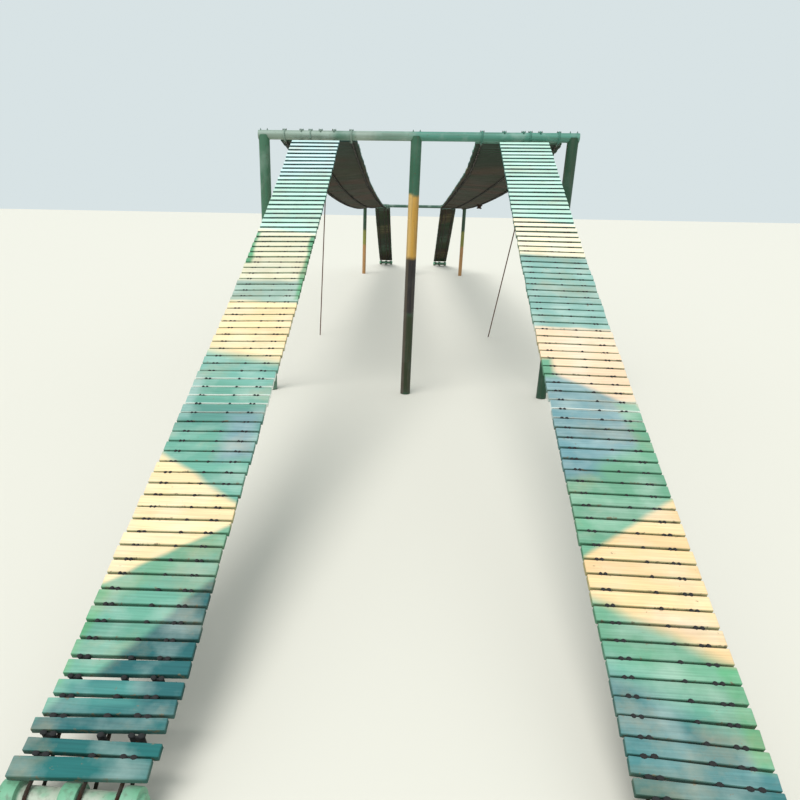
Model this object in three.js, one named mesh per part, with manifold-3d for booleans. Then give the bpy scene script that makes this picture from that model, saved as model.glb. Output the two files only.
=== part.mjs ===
// Rope suspension footbridge with two lanes.
//
// Each lane climbs a slatted ramp from a ground anchor to the near frame, crosses a suspended
// deck that hangs on three wire ropes, and comes down a second slatted ramp behind the far
// frame. Millimetres, +Z up. +Y runs from the near foot to the far foot, +X is to the right
// of someone who starts to climb. The origin is on the ground, in the middle of the bridge.

import * as THREE from 'three';
import { mergeVertices } from 'three/addons/utils/BufferGeometryUtils.js';
import Module from 'manifold-3d';

const wasm = await Module();
wasm.setup();

// Driving dimensions
const nearRampRun = 6430;
const spanRun = 16900;
const farRampRun = 4670;
const nearBeamHeight = 2716;
const farBeamHeight = 2146;
const nearPostX = 1605;
const farPostX = 1645;
const beamPastPost = 60;

// Steel tubes
const postRadius = 57;
const beamRadius = 44.5;
const tubeSides = 24;
const gap = 0.3;

// Ramps: wood slats on three wire ropes
const slatThickness = 28;
const rampWidth = 500;
const rampClearOfShaft = 30;
const rampSteps = { near: 12, far: 8 };

// Slats keep this far from the axis of a beam. A deck's reach sideways to its post.
const rampClearOfBeam = 50;
const deckClearOfBeam = 62;

// The two lanes were not hung alike. Places across the bridge are measured outwards from its
// middle. A ramp's slats and its three ropes are placed at the foot and at the head. Deck lines
// are the inner edge, the three ropes and the outer edge, at the near and the far frame.
// The stay holds the deck down, so that it hangs as a short bay and a long one.
const lanes = {
  left: {
    sign: -1,
    ramps: {
      near: {
        anchor: 1085,
        slats: { foot: 1062, head: 1050 },
        cables: [{ foot: 911, head: 862 }, { foot: 1043, head: 1003 }, { foot: 1235, head: 1205 }],
        sag: 135,
      },
      far: {
        anchor: 1065,
        slats: { foot: 1065, head: 1065 },
        cables: [{ foot: 895, head: 895 }, { foot: 1019, head: 1019 }, { foot: 1235, head: 1235 }],
        sag: 60,
      },
    },
    deckLines: [
      { near: 625, far: 930 },
      { near: 680, far: 957 },
      { near: 1110, far: 1290 },
      { near: 1385, far: 1570 },
      { near: 1440, far: 1630 },
    ],
    bank: 0.15,
    stay: { fromNearFrame: 4000, deckHeight: 2310, footX: 1530, footFromNearFrame: 3990 },
    shortBaySag: 15,
    longBaySag: 105,
  },
  right: {
    sign: 1,
    ramps: {
      near: {
        anchor: 1107,
        slats: { foot: 1107, head: 1107 },
        cables: [{ foot: 933, head: 900 }, { foot: 1149, head: 1095 }, { foot: 1270, head: 1266 }],
        sag: 80,
      },
      far: {
        anchor: 1107,
        slats: { foot: 1107, head: 1107 },
        cables: [{ foot: 937, head: 937 }, { foot: 1061, head: 1061 }, { foot: 1277, head: 1277 }],
        sag: 60,
      },
    },
    deckLines: [
      { near: 620, far: 830 },
      { near: 675, far: 885 },
      { near: 1165, far: 1215 },
      { near: 1455, far: 1570 },
      { near: 1510, far: 1630 },
    ],
    bank: 0.09,
    stay: { fromNearFrame: 2150, deckHeight: 2420, footX: 1400, footFromNearFrame: 4300 },
    shortBaySag: 35,
    longBaySag: 68,
  },
};
const deckRopes = { inner: 1, middle: 2, outer: 3 };
const shortBaySteps = 6;
const longBaySteps = 14;

// Wire ropes
const cableRadius = 8;
const cableSides = 6;
const wrapStep = THREE.MathUtils.degToRad(30);
const wrapTurn = THREE.MathUtils.degToRad(210);

// Ground anchors: a shaft through three collars that stand on the ground
const shaftRadius = 51;
const shaftHalfLength = 262;
const collarRadius = 74;
const collarWidth = 62;
const collarCentres = [-216, 0, 216];
const anchorSides = 20;

// Stays
const stayRadius = 9;
const staySides = 8;
const stayClamp = { x: 56, y: 60, z: 46, rodDepth: 8 };
const groundBlock = 400;

// Places along the bridge
const totalRun = nearRampRun + spanRun + farRampRun;
const nearFootY = -totalRun / 2;
const nearFrameY = nearFootY + nearRampRun;
const farFrameY = nearFrameY + spanRun;
const farFootY = totalRun / 2;
const deckStartY = nearFrameY + deckClearOfBeam;
const deckEndY = farFrameY - deckClearOfBeam;
const anchorAxisZ = collarRadius * Math.cos(Math.PI / anchorSides);
const ropeOnBeam = beamRadius + cableRadius + gap;
const ropeOnShaft = shaftRadius + cableRadius + gap;

// Colours from the faded camouflage paint
const paints = {
  greenSteel: { color: 0x5c7d74, roughness: 0.6, metalness: 0.3 },
  paintedWood: { color: 0x8fb8a4, roughness: 0.8, metalness: 0.0 },
  rawUnderside: { color: 0x4a3a26, roughness: 0.9, metalness: 0.0 },
  wireRope: { color: 0x3c342d, roughness: 0.7, metalness: 0.6 },
  rustySteel: { color: 0x6b4128, roughness: 0.85, metalness: 0.3 },
};

const bridge = new THREE.Group();

function addPiece(name, geometry, paint) {
  const mesh = new THREE.Mesh(geometry, new THREE.MeshStandardMaterial(paints[paint]));
  mesh.name = name;
  bridge.add(mesh);
  return mesh;
}

// Booleans on closed meshes

function toSolid(geometry) {
  const bare = geometry.clone();
  bare.deleteAttribute('normal');
  bare.deleteAttribute('uv');
  const merged = mergeVertices(bare, 1e-4);
  return new wasm.Manifold(new wasm.Mesh({
    numProp: 3,
    vertProperties: new Float32Array(merged.attributes.position.array),
    triVerts: new Uint32Array(merged.index.array),
  }));
}

function toGeometry(solid) {
  const mesh = solid.getMesh();
  const geometry = new THREE.BufferGeometry();
  geometry.setAttribute('position', new THREE.BufferAttribute(mesh.vertProperties, 3));
  geometry.setIndex(new THREE.BufferAttribute(mesh.triVerts, 1));
  geometry.computeVertexNormals();
  return geometry;
}

// A route is a list of points in the plane of the bridge's length: u along +Y, v up

// A rope that touches a tube is given by its slope there. On top of the tube side is 1,
// under it side is -1.
function touchPoint(axis, radius, slope, side) {
  return {
    u: axis.u - side * radius * Math.sin(slope),
    v: axis.v + side * radius * Math.cos(slope),
  };
}

// Part turn round a tube, from one slope to another. Its corners stand outside the round,
// so that the straight steps between them touch it.
function wrapRoute(axis, radius, fromSlope, toSlope, side) {
  const steps = Math.max(1, Math.round(Math.abs(toSlope - fromSlope) / wrapStep));
  const step = (toSlope - fromSlope) / steps;
  const cornerRadius = radius / Math.cos(step / 2);
  const points = [];
  for (let i = 0; i < steps; i += 1) {
    points.push(touchPoint(axis, cornerRadius, fromSlope + step * (i + 0.5), side));
  }
  return points;
}

function sagRoute(start, end, sag, steps) {
  const points = [];
  for (let i = 0; i <= steps; i += 1) {
    const t = i / steps;
    points.push({
      u: start.u + (end.u - start.u) * t,
      v: start.v + (end.v - start.v) * t - 4 * sag * t * (1 - t),
    });
  }
  return points;
}

function sagSlopes(start, end, sag) {
  const run = end.u - start.u;
  const chord = (end.v - start.v) / run;
  return {
    start: Math.atan(chord - 4 * sag / run),
    end: Math.atan(chord + 4 * sag / run),
  };
}

// The same route moved sideways to its upper side
function offsetRoute(points, distance) {
  return points.map((point, i) => {
    const before = points[Math.max(i - 1, 0)];
    const after = points[Math.min(i + 1, points.length - 1)];
    const length = Math.hypot(after.u - before.u, after.v - before.v);
    return {
      u: point.u - distance * (after.v - before.v) / length,
      v: point.v + distance * (after.u - before.u) / length,
    };
  });
}

// The stretch of a route between two values of u
function trimRoute(points, fromU, toU) {
  const cut = (u) => {
    const i = points.findIndex((point, k) => k > 0 && point.u >= u);
    const a = points[i - 1];
    const b = points[i];
    return { u, v: a.v + (b.v - a.v) * (u - a.u) / (b.u - a.u) };
  };
  const inside = points.filter((point) => point.u > fromU + 1 && point.u < toU - 1);
  return [cut(fromU), ...inside, cut(toU)];
}

// Path with its stations exactly at the given points
class StationPath extends THREE.Curve {
  constructor(points) {
    super();
    this.points = points;
  }

  getPoint(t) {
    const place = t * (this.points.length - 1);
    const i = Math.min(Math.floor(place), this.points.length - 2);
    return this.points[i].clone().lerp(this.points[i + 1], place - i);
  }

  getTangent(t) {
    const place = Math.round(t * (this.points.length - 1));
    const before = this.points[Math.max(place - 1, 0)];
    const after = this.points[Math.min(place + 1, this.points.length - 1)];
    const here = this.points[place];
    const arriving = here.clone().sub(before).normalize();
    const leaving = after.clone().sub(here).normalize();
    return arriving.add(leaving).normalize();
  }

  getTangentAt(u) {
    return this.getTangent(u);
  }

  getSpacedPoints(steps) {
    return this.getPoints(steps);
  }
}

function roundBar(points, radius, sides) {
  const section = new THREE.Shape();
  for (let i = 0; i < sides; i += 1) {
    const angle = (i + 0.5) * 2 * Math.PI / sides;
    const x = radius * Math.cos(angle);
    const y = radius * Math.sin(angle);
    if (i === 0) section.moveTo(x, y);
    else section.lineTo(x, y);
  }
  section.closePath();
  return new THREE.ExtrudeGeometry(section, {
    steps: points.length - 1,
    bevelEnabled: false,
    extrudePath: new StationPath(points),
  });
}

// Slab of slats over the stretch of a rope's route between two values of u, extruded across
// the bridge from x = 0 to x = 1 in equal steps
function unitSlab(route, fromU, toU, steps) {
  const bottom = cableRadius + gap;
  const lower = trimRoute(offsetRoute(route, bottom), fromU, toU);
  const upper = trimRoute(offsetRoute(route, bottom + slatThickness), fromU, toU);
  const outline = new THREE.Shape();
  [...lower, ...upper.reverse()].forEach((point, i) => {
    if (i === 0) outline.moveTo(point.u, point.v);
    else outline.lineTo(point.u, point.v);
  });
  outline.closePath();
  const slab = new THREE.ExtrudeGeometry(outline, { steps, depth: 1, bevelEnabled: false });
  const position = slab.attributes.position;
  for (let i = 0; i < position.count; i += 1) {
    const u = position.getX(i);
    const v = position.getY(i);
    const x = position.getZ(i);
    position.setXYZ(i, x, u, v);
  }
  return slab;
}

// Both lanes are made on the +X side. This turns one round for the left-hand lane, with its
// faces out again.
function mirrored(geometry) {
  const flat = geometry.index ? geometry.toNonIndexed() : geometry.clone();
  const position = flat.attributes.position;
  for (let i = 0; i < position.count; i += 3) {
    const corners = [0, 2, 1].map((k) => new THREE.Vector3().fromBufferAttribute(position, i + k));
    corners.forEach((corner, k) => position.setXYZ(i + k, -corner.x, corner.y, corner.z));
  }
  flat.computeVertexNormals();
  return flat;
}

function forLane(geometry, lane) {
  return lane.sign < 0 ? mirrored(geometry) : geometry;
}

// Frames

function beamGeometry(radius, postX) {
  const length = 2 * (postX + beamPastPost);
  const beam = new THREE.CylinderGeometry(radius, radius, length, tubeSides);
  beam.rotateZ(Math.PI / 2);
  return beam;
}

// The top of a post is cut out to carry the beam
function postGeometry(beamHeight, postX) {
  const post = new THREE.CylinderGeometry(postRadius, postRadius, beamHeight, tubeSides);
  post.rotateX(Math.PI / 2);
  post.translate(0, 0, beamHeight / 2);
  const cope = beamGeometry(beamRadius + gap, postX);
  cope.translate(0, 0, beamHeight);
  return toGeometry(toSolid(post).subtract(toSolid(cope)));
}

function addFrame(label, y, beamHeight, postX) {
  const beam = addPiece(`${label}_beam`, beamGeometry(beamRadius, postX), 'greenSteel');
  beam.position.set(0, y, beamHeight);
  const places = { left: -postX, middle: 0, right: postX };
  for (const [place, x] of Object.entries(places)) {
    const shaft = postGeometry(beamHeight, postX);
    const post = addPiece(`${label}_post_${place}`, shaft, 'greenSteel');
    post.position.set(x, y, 0);
  }
}

// Ground anchors

function anchorGeometry() {
  const half = collarWidth / 2;
  const profile = [[0, -shaftHalfLength], [shaftRadius, -shaftHalfLength]];
  for (const centre of collarCentres) {
    profile.push([shaftRadius, centre - half]);
    profile.push([collarRadius, centre - half]);
    profile.push([collarRadius, centre + half]);
    profile.push([shaftRadius, centre + half]);
  }
  profile.push([shaftRadius, shaftHalfLength], [0, shaftHalfLength]);
  const points = profile.map(([radius, along]) => new THREE.Vector2(radius, along));
  const anchor = new THREE.LatheGeometry(points, anchorSides);
  anchor.rotateY(Math.PI / anchorSides);
  anchor.rotateZ(Math.PI / 2);
  return anchor;
}

function addAnchor(label, side, y) {
  const { sign, ramps } = lanes[side];
  const anchor = addPiece(`${label}_anchor_${side}`, anchorGeometry(), 'greenSteel');
  anchor.position.set(sign * ramps[label].anchor, y, anchorAxisZ);
}

// Ramps

// The ropes come over the shaft at the foot and pass under the beam, round behind it and
// back over its top
function rampRoute(lower, upper, sag, steps) {
  const slopes = sagSlopes(lower, upper, sag);
  const start = touchPoint(lower, ropeOnShaft, slopes.start, 1);
  const end = touchPoint(upper, ropeOnBeam, slopes.end, -1);
  const hanging = sagRoute(start, end, sag, steps);
  const foot = wrapRoute(lower, ropeOnShaft, slopes.start + wrapTurn, slopes.start, 1);
  const head = wrapRoute(upper, ropeOnBeam, slopes.end, slopes.end + wrapTurn, -1);
  return { hanging, whole: [...foot, ...hanging, ...head] };
}

// Stands a piece drawn along +Y at its foot, and turns it towards the frame. The slight skew from
// foot to head mirrors with the lane.
function standOnFoot(piece, sign, places, footY, frameY) {
  const skew = sign * Math.atan((places.foot - places.head) / Math.abs(frameY - footY));
  piece.position.set(sign * places.foot, footY, 0);
  piece.rotation.z = frameY > footY ? skew : Math.PI - skew;
}

function addRamp(label, side, footY, frameY, beamHeight) {
  const { sign, ramps } = lanes[side];
  const { slats, cables, sag } = ramps[label];
  const lower = { u: 0, v: anchorAxisZ };
  const upper = { u: Math.abs(frameY - footY), v: beamHeight };
  const route = rampRoute(lower, upper, sag, rampSteps[label]);

  const slab = unitSlab(route.hanging, rampClearOfShaft, upper.u - rampClearOfBeam, 1);
  slab.scale(rampWidth, 1, 1);
  slab.translate(-rampWidth / 2, 0, 0);
  const ramp = addPiece(`${label}_ramp_${side}`, slab, 'paintedWood');
  standOnFoot(ramp, sign, slats, footY, frameY);

  cables.forEach((places, i) => {
    const points = route.whole.map((point) => new THREE.Vector3(0, point.u, point.v));
    const bar = roundBar(points, cableRadius, cableSides);
    const cable = addPiece(`${label}_ramp_cable_${side}_${i + 1}`, bar, 'wireRope');
    standOnFoot(cable, sign, places, footY, frameY);
  });
}

// Suspended decks

// How far along the deck a place is, from 0 at its first slat to 1 at its last
function spanShare(y) {
  return THREE.MathUtils.clamp((y - deckStartY) / (deckEndY - deckStartY), 0, 1);
}

function deckX(lane, line, y) {
  const { near, far } = lane.deckLines[line];
  return THREE.MathUtils.lerp(near, far, spanShare(y));
}

// The outer edge hangs lower than the inner one, most of all in the middle of the span
function bankedZ(lane, x, y, z) {
  const bank = lane.bank * Math.sin(Math.PI * spanShare(y));
  return z - bank * (x - deckX(lane, deckRopes.middle, y));
}

// The middle rope, under the near beam, down to the stay and on to under the far beam
function spanRoute(lane) {
  const nearBeam = { u: nearFrameY, v: nearBeamHeight };
  const farBeam = { u: farFrameY, v: farBeamHeight };
  const held = { u: nearFrameY + lane.stay.fromNearFrame, v: lane.stay.deckHeight };
  const nearUnder = { u: nearBeam.u, v: nearBeam.v - ropeOnBeam };
  const farUnder = { u: farBeam.u, v: farBeam.v - ropeOnBeam };
  const startSlope = sagSlopes(nearUnder, held, lane.shortBaySag).start;
  const endSlope = sagSlopes(held, farUnder, lane.longBaySag).end;
  const start = touchPoint(nearBeam, ropeOnBeam, startSlope, -1);
  const end = touchPoint(farBeam, ropeOnBeam, endSlope, -1);
  const shortBay = sagRoute(start, held, lane.shortBaySag, shortBaySteps);
  const longBay = sagRoute(held, end, lane.longBaySag, longBaySteps);
  const underSlats = trimRoute([...shortBay, ...longBay.slice(1)], deckStartY, deckEndY);
  return {
    held,
    hanging: [start, ...underSlats, end],
    head: wrapRoute(nearBeam, ropeOnBeam, startSlope - wrapTurn, startSlope, -1),
    tail: wrapRoute(farBeam, ropeOnBeam, endSlope, endSlope + wrapTurn, -1),
    longBayMiddle: longBay[longBaySteps / 2].u,
  };
}

function deckCable(lane, span, line, radius) {
  const points = [...span.head, ...span.hanging, ...span.tail].map((point) => {
    const x = deckX(lane, line, point.u);
    return new THREE.Vector3(x, point.u, bankedZ(lane, x, point.u, point.v));
  });
  return roundBar(points, radius, cableSides);
}

function deckSlab(lane, span, fromY, toY) {
  const strips = lane.deckLines.length - 1;
  const slab = unitSlab(span.hanging, fromY, toY, strips);
  const position = slab.attributes.position;
  for (let i = 0; i < position.count; i += 1) {
    const line = Math.round(position.getX(i) * strips);
    const y = position.getY(i);
    const x = deckX(lane, line, y);
    position.setXYZ(i, x, y, bankedZ(lane, x, y, position.getZ(i)));
  }
  return slab;
}

// Stay: a clamp under the outer wire rope and a rod down to the ground
function stayGeometry(lane, span, slab) {
  const y = span.held.u;
  const top = new THREE.Vector3(deckX(lane, deckRopes.outer, y), y, 0);
  top.z = bankedZ(lane, top.x, y, span.held.v);
  const ground = new THREE.Vector3(
    lane.stay.footX,
    nearFrameY + lane.stay.footFromNearFrame,
    0,
  );
  const below = stayClamp.z / 2 - stayClamp.rodDepth;
  const rodTop = top.clone().add(new THREE.Vector3(0, 0, -below));
  const past = ground.clone().sub(rodTop).setLength(4 * stayRadius).add(ground);

  const block = new THREE.BoxGeometry(stayClamp.x, stayClamp.y, stayClamp.z);
  block.translate(top.x, top.y, top.z);
  const grownCable = deckCable(lane, span, deckRopes.outer, cableRadius + gap);
  const loweredSlab = slab.clone().translate(0, 0, -gap);
  const clamp = toSolid(block).subtract(toSolid(grownCable)).subtract(toSolid(loweredSlab));

  const rod = toSolid(roundBar([rodTop, past], stayRadius, staySides));
  const underground = new THREE.BoxGeometry(groundBlock, groundBlock, groundBlock);
  underground.translate(ground.x, ground.y, -groundBlock / 2);
  return toGeometry(clamp.add(rod).subtract(toSolid(underground)));
}

function addSpan(side) {
  const lane = lanes[side];
  const span = spanRoute(lane);
  const bays = {
    short_bay: [deckStartY, span.held.u - gap / 2],
    long_bay_near: [span.held.u + gap / 2, span.longBayMiddle - gap / 2],
    long_bay_far: [span.longBayMiddle + gap / 2, deckEndY],
  };
  for (const [bay, [fromY, toY]] of Object.entries(bays)) {
    const slab = forLane(deckSlab(lane, span, fromY, toY), lane);
    addPiece(`deck_${side}_${bay}`, slab, 'rawUnderside');
  }
  Object.values(deckRopes).forEach((line, i) => {
    const cable = forLane(deckCable(lane, span, line, cableRadius), lane);
    addPiece(`span_cable_${side}_${i + 1}`, cable, 'wireRope');
  });
  const stay = stayGeometry(lane, span, deckSlab(lane, span, deckStartY, deckEndY));
  addPiece(`stay_${side}`, forLane(stay, lane), 'rustySteel');
}

addFrame('near', nearFrameY, nearBeamHeight, nearPostX);
addFrame('far', farFrameY, farBeamHeight, farPostX);
for (const side of Object.keys(lanes)) {
  addAnchor('near', side, nearFootY);
  addRamp('near', side, nearFootY, nearFrameY, nearBeamHeight);
  addAnchor('far', side, farFootY);
  addRamp('far', side, farFootY, farFrameY, farBeamHeight);
  addSpan(side);
}

export default bridge;
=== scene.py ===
import math
import random

import bmesh
import bpy
from mathutils import Matrix, Vector


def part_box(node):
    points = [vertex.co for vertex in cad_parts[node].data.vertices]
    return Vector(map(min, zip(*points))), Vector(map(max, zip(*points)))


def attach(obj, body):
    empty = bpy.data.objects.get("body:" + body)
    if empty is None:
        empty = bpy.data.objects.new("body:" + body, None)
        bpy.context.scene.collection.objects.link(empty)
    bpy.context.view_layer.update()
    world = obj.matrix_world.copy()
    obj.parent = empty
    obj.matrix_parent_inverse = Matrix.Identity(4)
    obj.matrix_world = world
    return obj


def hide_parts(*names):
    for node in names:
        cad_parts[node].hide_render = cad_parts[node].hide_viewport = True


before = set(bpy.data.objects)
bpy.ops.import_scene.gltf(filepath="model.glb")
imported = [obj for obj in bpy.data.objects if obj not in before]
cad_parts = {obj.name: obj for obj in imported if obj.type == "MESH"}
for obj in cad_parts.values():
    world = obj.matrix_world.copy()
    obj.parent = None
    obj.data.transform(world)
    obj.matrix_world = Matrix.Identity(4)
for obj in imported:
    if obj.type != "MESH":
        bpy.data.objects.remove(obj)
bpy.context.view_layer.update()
print("frame loaded:", len(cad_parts), "nodes")

# Small helpers


def linearColour(code):
    channels = [int(code[i:i + 2], 16) / 255 for i in (1, 3, 5)]
    linear = [c / 12.92 if c <= 0.04045 else ((c + 0.055) / 1.055) ** 2.4 for c in channels]
    return (*linear, 1.0)


def addNode(tree, kind, inputs=None, **settings):
    node = tree.nodes.new(kind)
    for name, value in settings.items():
        setattr(node, name, value)
    for name, value in (inputs or {}).items():
        if isinstance(value, bpy.types.NodeSocket):
            tree.links.new(value, node.inputs[name])
        else:
            node.inputs[name].default_value = value
    return node


def middleOf(node):
    low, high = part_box(node)
    return (low + high) / 2


def lerp(a, b, t):
    return a + (b - a) * t


# A value read off a list of (place, value) pairs, straight between them
def between(pairs, place):
    for (a, first), (b, second) in zip(pairs, pairs[1:]):
        if place <= b:
            return lerp(first, second, min(max((place - a) / (b - a), 0), 1))
    return pairs[-1][1]


def newObject(name, mesh):
    piece = bpy.data.objects.new(name, mesh)
    bpy.context.scene.collection.objects.link(piece)
    return piece


def meshFromFaces(name, verts, faces, smoothAngle=40):
    mesh = bpy.data.meshes.new(name)
    mesh.from_pydata([tuple(v) for v in verts], [], faces)
    mesh.validate()
    mesh.polygons.foreach_set("use_smooth", [True] * len(mesh.polygons))
    mesh.set_sharp_from_angle(angle=math.radians(smoothAngle))
    return mesh


def meshFromShape(name, shape, smooth=False):
    mesh = bpy.data.meshes.new(name)
    shape.to_mesh(mesh)
    shape.free()
    mesh.polygons.foreach_set("use_smooth", [smooth] * len(mesh.polygons))
    return mesh


def finishPiece(piece, nodes=()):
    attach(piece, "root")
    if nodes:
        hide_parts(*nodes)
    return piece


# Camera at the photo's angle, between the two lanes

camera = {
    "place": (0.0206, -15.733, 2.003),
    "yaw": -3.96,
    "pitch": 23.61,
    "roll": 1.03,
    "imageSize": 800,
    "focalPixels": 689.5,
    "axisPixel": (357.6, 511.5),
    "sensor": 36,
    "reach": 500,
}


def addCamera(view):
    yaw, pitch, roll = (math.radians(view[key]) for key in ("yaw", "pitch", "roll"))
    ahead = Vector((math.sin(yaw) * math.cos(pitch), math.cos(yaw) * math.cos(pitch), -math.sin(pitch)))
    level = Vector((math.cos(yaw), -math.sin(yaw), 0))
    upright = level.cross(ahead)
    right = level * math.cos(roll) + upright * math.sin(roll)
    up = upright * math.cos(roll) - level * math.sin(roll)
    data = bpy.data.cameras.new("viewFromFoot")
    size = view["imageSize"]
    data.sensor_width = view["sensor"]
    data.lens = view["focalPixels"] / size * view["sensor"]
    data.shift_x = (size / 2 - view["axisPixel"][0]) / size
    data.shift_y = (view["axisPixel"][1] - size / 2) / size
    data.clip_end = view["reach"]
    holder = bpy.data.objects.new("viewFromFoot", data)
    turn = Matrix((right, up, -ahead)).transposed().to_4x4()
    holder.matrix_world = Matrix.Translation(view["place"]) @ turn
    bpy.context.scene.collection.objects.link(holder)
    bpy.context.scene.camera = holder


# Pale floor and a soft, hazy sky

studio = {
    "floorReach": 300,
    "floorLevel": -0.002,
    "floorRoughness": 0.95,
    "floorColour": "#D9D4C8",
    "skyColour": "#DDE8EA",
    "skyStrength": 0.95,
    "sunStrength": 2.3,
    "sunSpread": 35,
    "sunTilt": (32, 0, -28),
}


def addStudio(look):
    reach, level = look["floorReach"], look["floorLevel"]
    corners = [(x * reach, y * reach, level) for x, y in ((-1, -1), (1, -1), (1, 1), (-1, 1))]
    floor = newObject("floor", meshFromFaces("floor", corners, [(0, 1, 2, 3)]))
    paper = bpy.data.materials.new("mattPaper")
    paper.use_nodes = True
    shader = paper.node_tree.nodes["Principled BSDF"]
    shader.inputs["Base Color"].default_value = linearColour(look["floorColour"])
    shader.inputs["Roughness"].default_value = look["floorRoughness"]
    floor.data.materials.append(paper)
    sky = bpy.data.worlds.new("hazySky")
    sky.use_nodes = True
    background = sky.node_tree.nodes["Background"]
    background.inputs["Color"].default_value = linearColour(look["skyColour"])
    background.inputs["Strength"].default_value = look["skyStrength"]
    bpy.context.scene.world = sky
    sun = bpy.data.lights.new("softSun", "SUN")
    sun.energy = look["sunStrength"]
    sun.angle = math.radians(look["sunSpread"])
    lamp = bpy.data.objects.new("softSun", sun)
    lamp.rotation_euler = [math.radians(turn) for turn in look["sunTilt"]]
    bpy.context.scene.collection.objects.link(lamp)


addCamera(camera)
addStudio(studio)
bpy.context.scene.view_settings.view_transform = "Standard"
print("camera, floor and lights set")

# Places of the frames, read from the solids

nearBeam = middleOf("near_beam")
farBeam = middleOf("far_beam")
beamRadius = (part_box("near_beam")[1].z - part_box("near_beam")[0].z) / 2
footHeight = middleOf("near_anchor_left").z

# Materials

paints = {
    "whiteMint": "#CBE6E4",
    "mint": "#BFE3D2",
    "cream": "#F8D8A8",
    "sand": "#F0CB98",
    "pinkCream": "#F2D0AE",
    "greyGreen": "#9BB3A5",
    "aqua": "#89B1A7",
    "paleTeal": "#79AFA0",
    "leaf": "#6FA385",
    "green": "#62A278",
    "seaGreen": "#6AA28D",
    "teal": "#6CA491",
    "darkTeal": "#4B7A73",
    "deepTeal": "#2B6163",
    "footTeal": "#266A68",
    "slateTeal": "#4C7E7F",
    "mossTeal": "#5C9186",
    "wetTeal": "#4A8781",
    "steelBlue": "#6A9298",
    "paleCream": "#E4DCBE",
    "milkCream": "#FFEFCE",
    "slate": "#7C9CA0",
    # on the frames
    "ochre": "#BD8F38",
    # painted highlight down the middle post's left flank, in its ochre band
    "ochreFlankHighlight": "#C9A45E",
    "purpleBlack": "#171112",
    "blackOlive": "#1C2A04",
    # painted highlight down the middle post's left flank, below the ochre
    "brownFlankHighlight": "#453B2E",
    "olive": "#7E7F34",
    "tan": "#A87C4A",
    "leftPostGreen": "#39674D",
    "middlePostGreen": "#24583F",
    "rightPostGreen": "#123F28",
    "farPostGreen": "#1C3F27",
    "beamTeal": "#4A8574",
    "beamAsh": "#86998B",
    "beamGreen": "#557A68",
    "beamMist": "#6F9080",
    "farBeamGreen": "#2E5646",
    # on the anchors
    "anchorGreen": "#6CA583",
    # a darker band along the bottom of the anchors
    "anchorLowBand": "#4E5A44",
    # painted highlight along the top of the anchor shafts
    "anchorTopHighlight": "#A9B3A0",
}


def newMaterial(name, roughness, metallic=0.0, ior=1.5):
    material = bpy.data.materials.new(name)
    material.use_nodes = True
    tree = material.node_tree
    tree.nodes.clear()
    shader = addNode(tree, "ShaderNodeBsdfPrincipled", {"Roughness": roughness, "Metallic": metallic})
    if not metallic:
        shader.inputs["IOR"].default_value = ior
    addNode(tree, "ShaderNodeOutputMaterial", {"Surface": shader.outputs["BSDF"]})
    return material, tree, shader


# One soft-edged patch of sprayed paint: a turned rectangle, in the plane of the first two axes
def makeSprayPatch():
    group = bpy.data.node_groups.new("sprayPatch", "ShaderNodeTree")
    sockets = {
        "Place": "NodeSocketVector",
        "Middle": "NodeSocketVector",
        "Turn": "NodeSocketVector",
        "Half size": "NodeSocketVector",
        "Softness": "NodeSocketFloat",
        "Under": "NodeSocketColor",
        "Paint": "NodeSocketColor",
    }
    for name, kind in sockets.items():
        group.interface.new_socket(name, in_out="INPUT", socket_type=kind)
    group.interface.new_socket("Colour", in_out="OUTPUT", socket_type="NodeSocketColor")
    given = addNode(group, "NodeGroupInput").outputs
    local = addNode(group, "ShaderNodeMapping", {
        "Vector": given["Place"],
        "Location": given["Middle"],
        "Rotation": given["Turn"],
    }, vector_type="TEXTURE")
    size = addNode(group, "ShaderNodeVectorMath", {0: local.outputs[0]}, operation="ABSOLUTE")
    beyond = addNode(group, "ShaderNodeVectorMath", {0: size.outputs[0], 1: given["Half size"]},
                     operation="SUBTRACT")
    split = addNode(group, "ShaderNodeSeparateXYZ", {0: beyond.outputs[0]})
    edge = addNode(group, "ShaderNodeMath", {0: split.outputs["X"], 1: split.outputs["Y"]},
                   operation="MAXIMUM")
    inner = addNode(group, "ShaderNodeMath", {0: given["Softness"], 1: -1.0}, operation="MULTIPLY")
    cover = addNode(group, "ShaderNodeMapRange", {
        "Value": edge.outputs[0],
        "From Min": given["Softness"],
        "From Max": inner.outputs[0],
    }, interpolation_type="SMOOTHSTEP")
    blended = addNode(group, "ShaderNodeMix", {0: cover.outputs[0], 6: given["Under"], 7: given["Paint"]},
                      data_type="RGBA")
    addNode(group, "NodeGroupOutput", {"Colour": blended.outputs[2]})
    return group


sprayPatch = makeSprayPatch()


# A patch is its paint, its middle, its half size, its turn in degrees and the softness of its edge
def sprayed(tree, place, under, patches, origin=(0, 0)):
    colour = under
    for paint, (x, y), (halfX, halfY), turn, softness in patches:
        patch = addNode(tree, "ShaderNodeGroup", {
            "Place": place,
            "Middle": (origin[0] + x, origin[1] + y, 0),
            "Turn": (0, 0, math.radians(turn)),
            "Half size": (halfX, halfY, 0),
            "Softness": softness,
            "Under": colour,
            "Paint": linearColour(paints[paint]),
        }, node_tree=sprayPatch)
        colour = patch.outputs["Colour"]
    return colour


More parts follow.
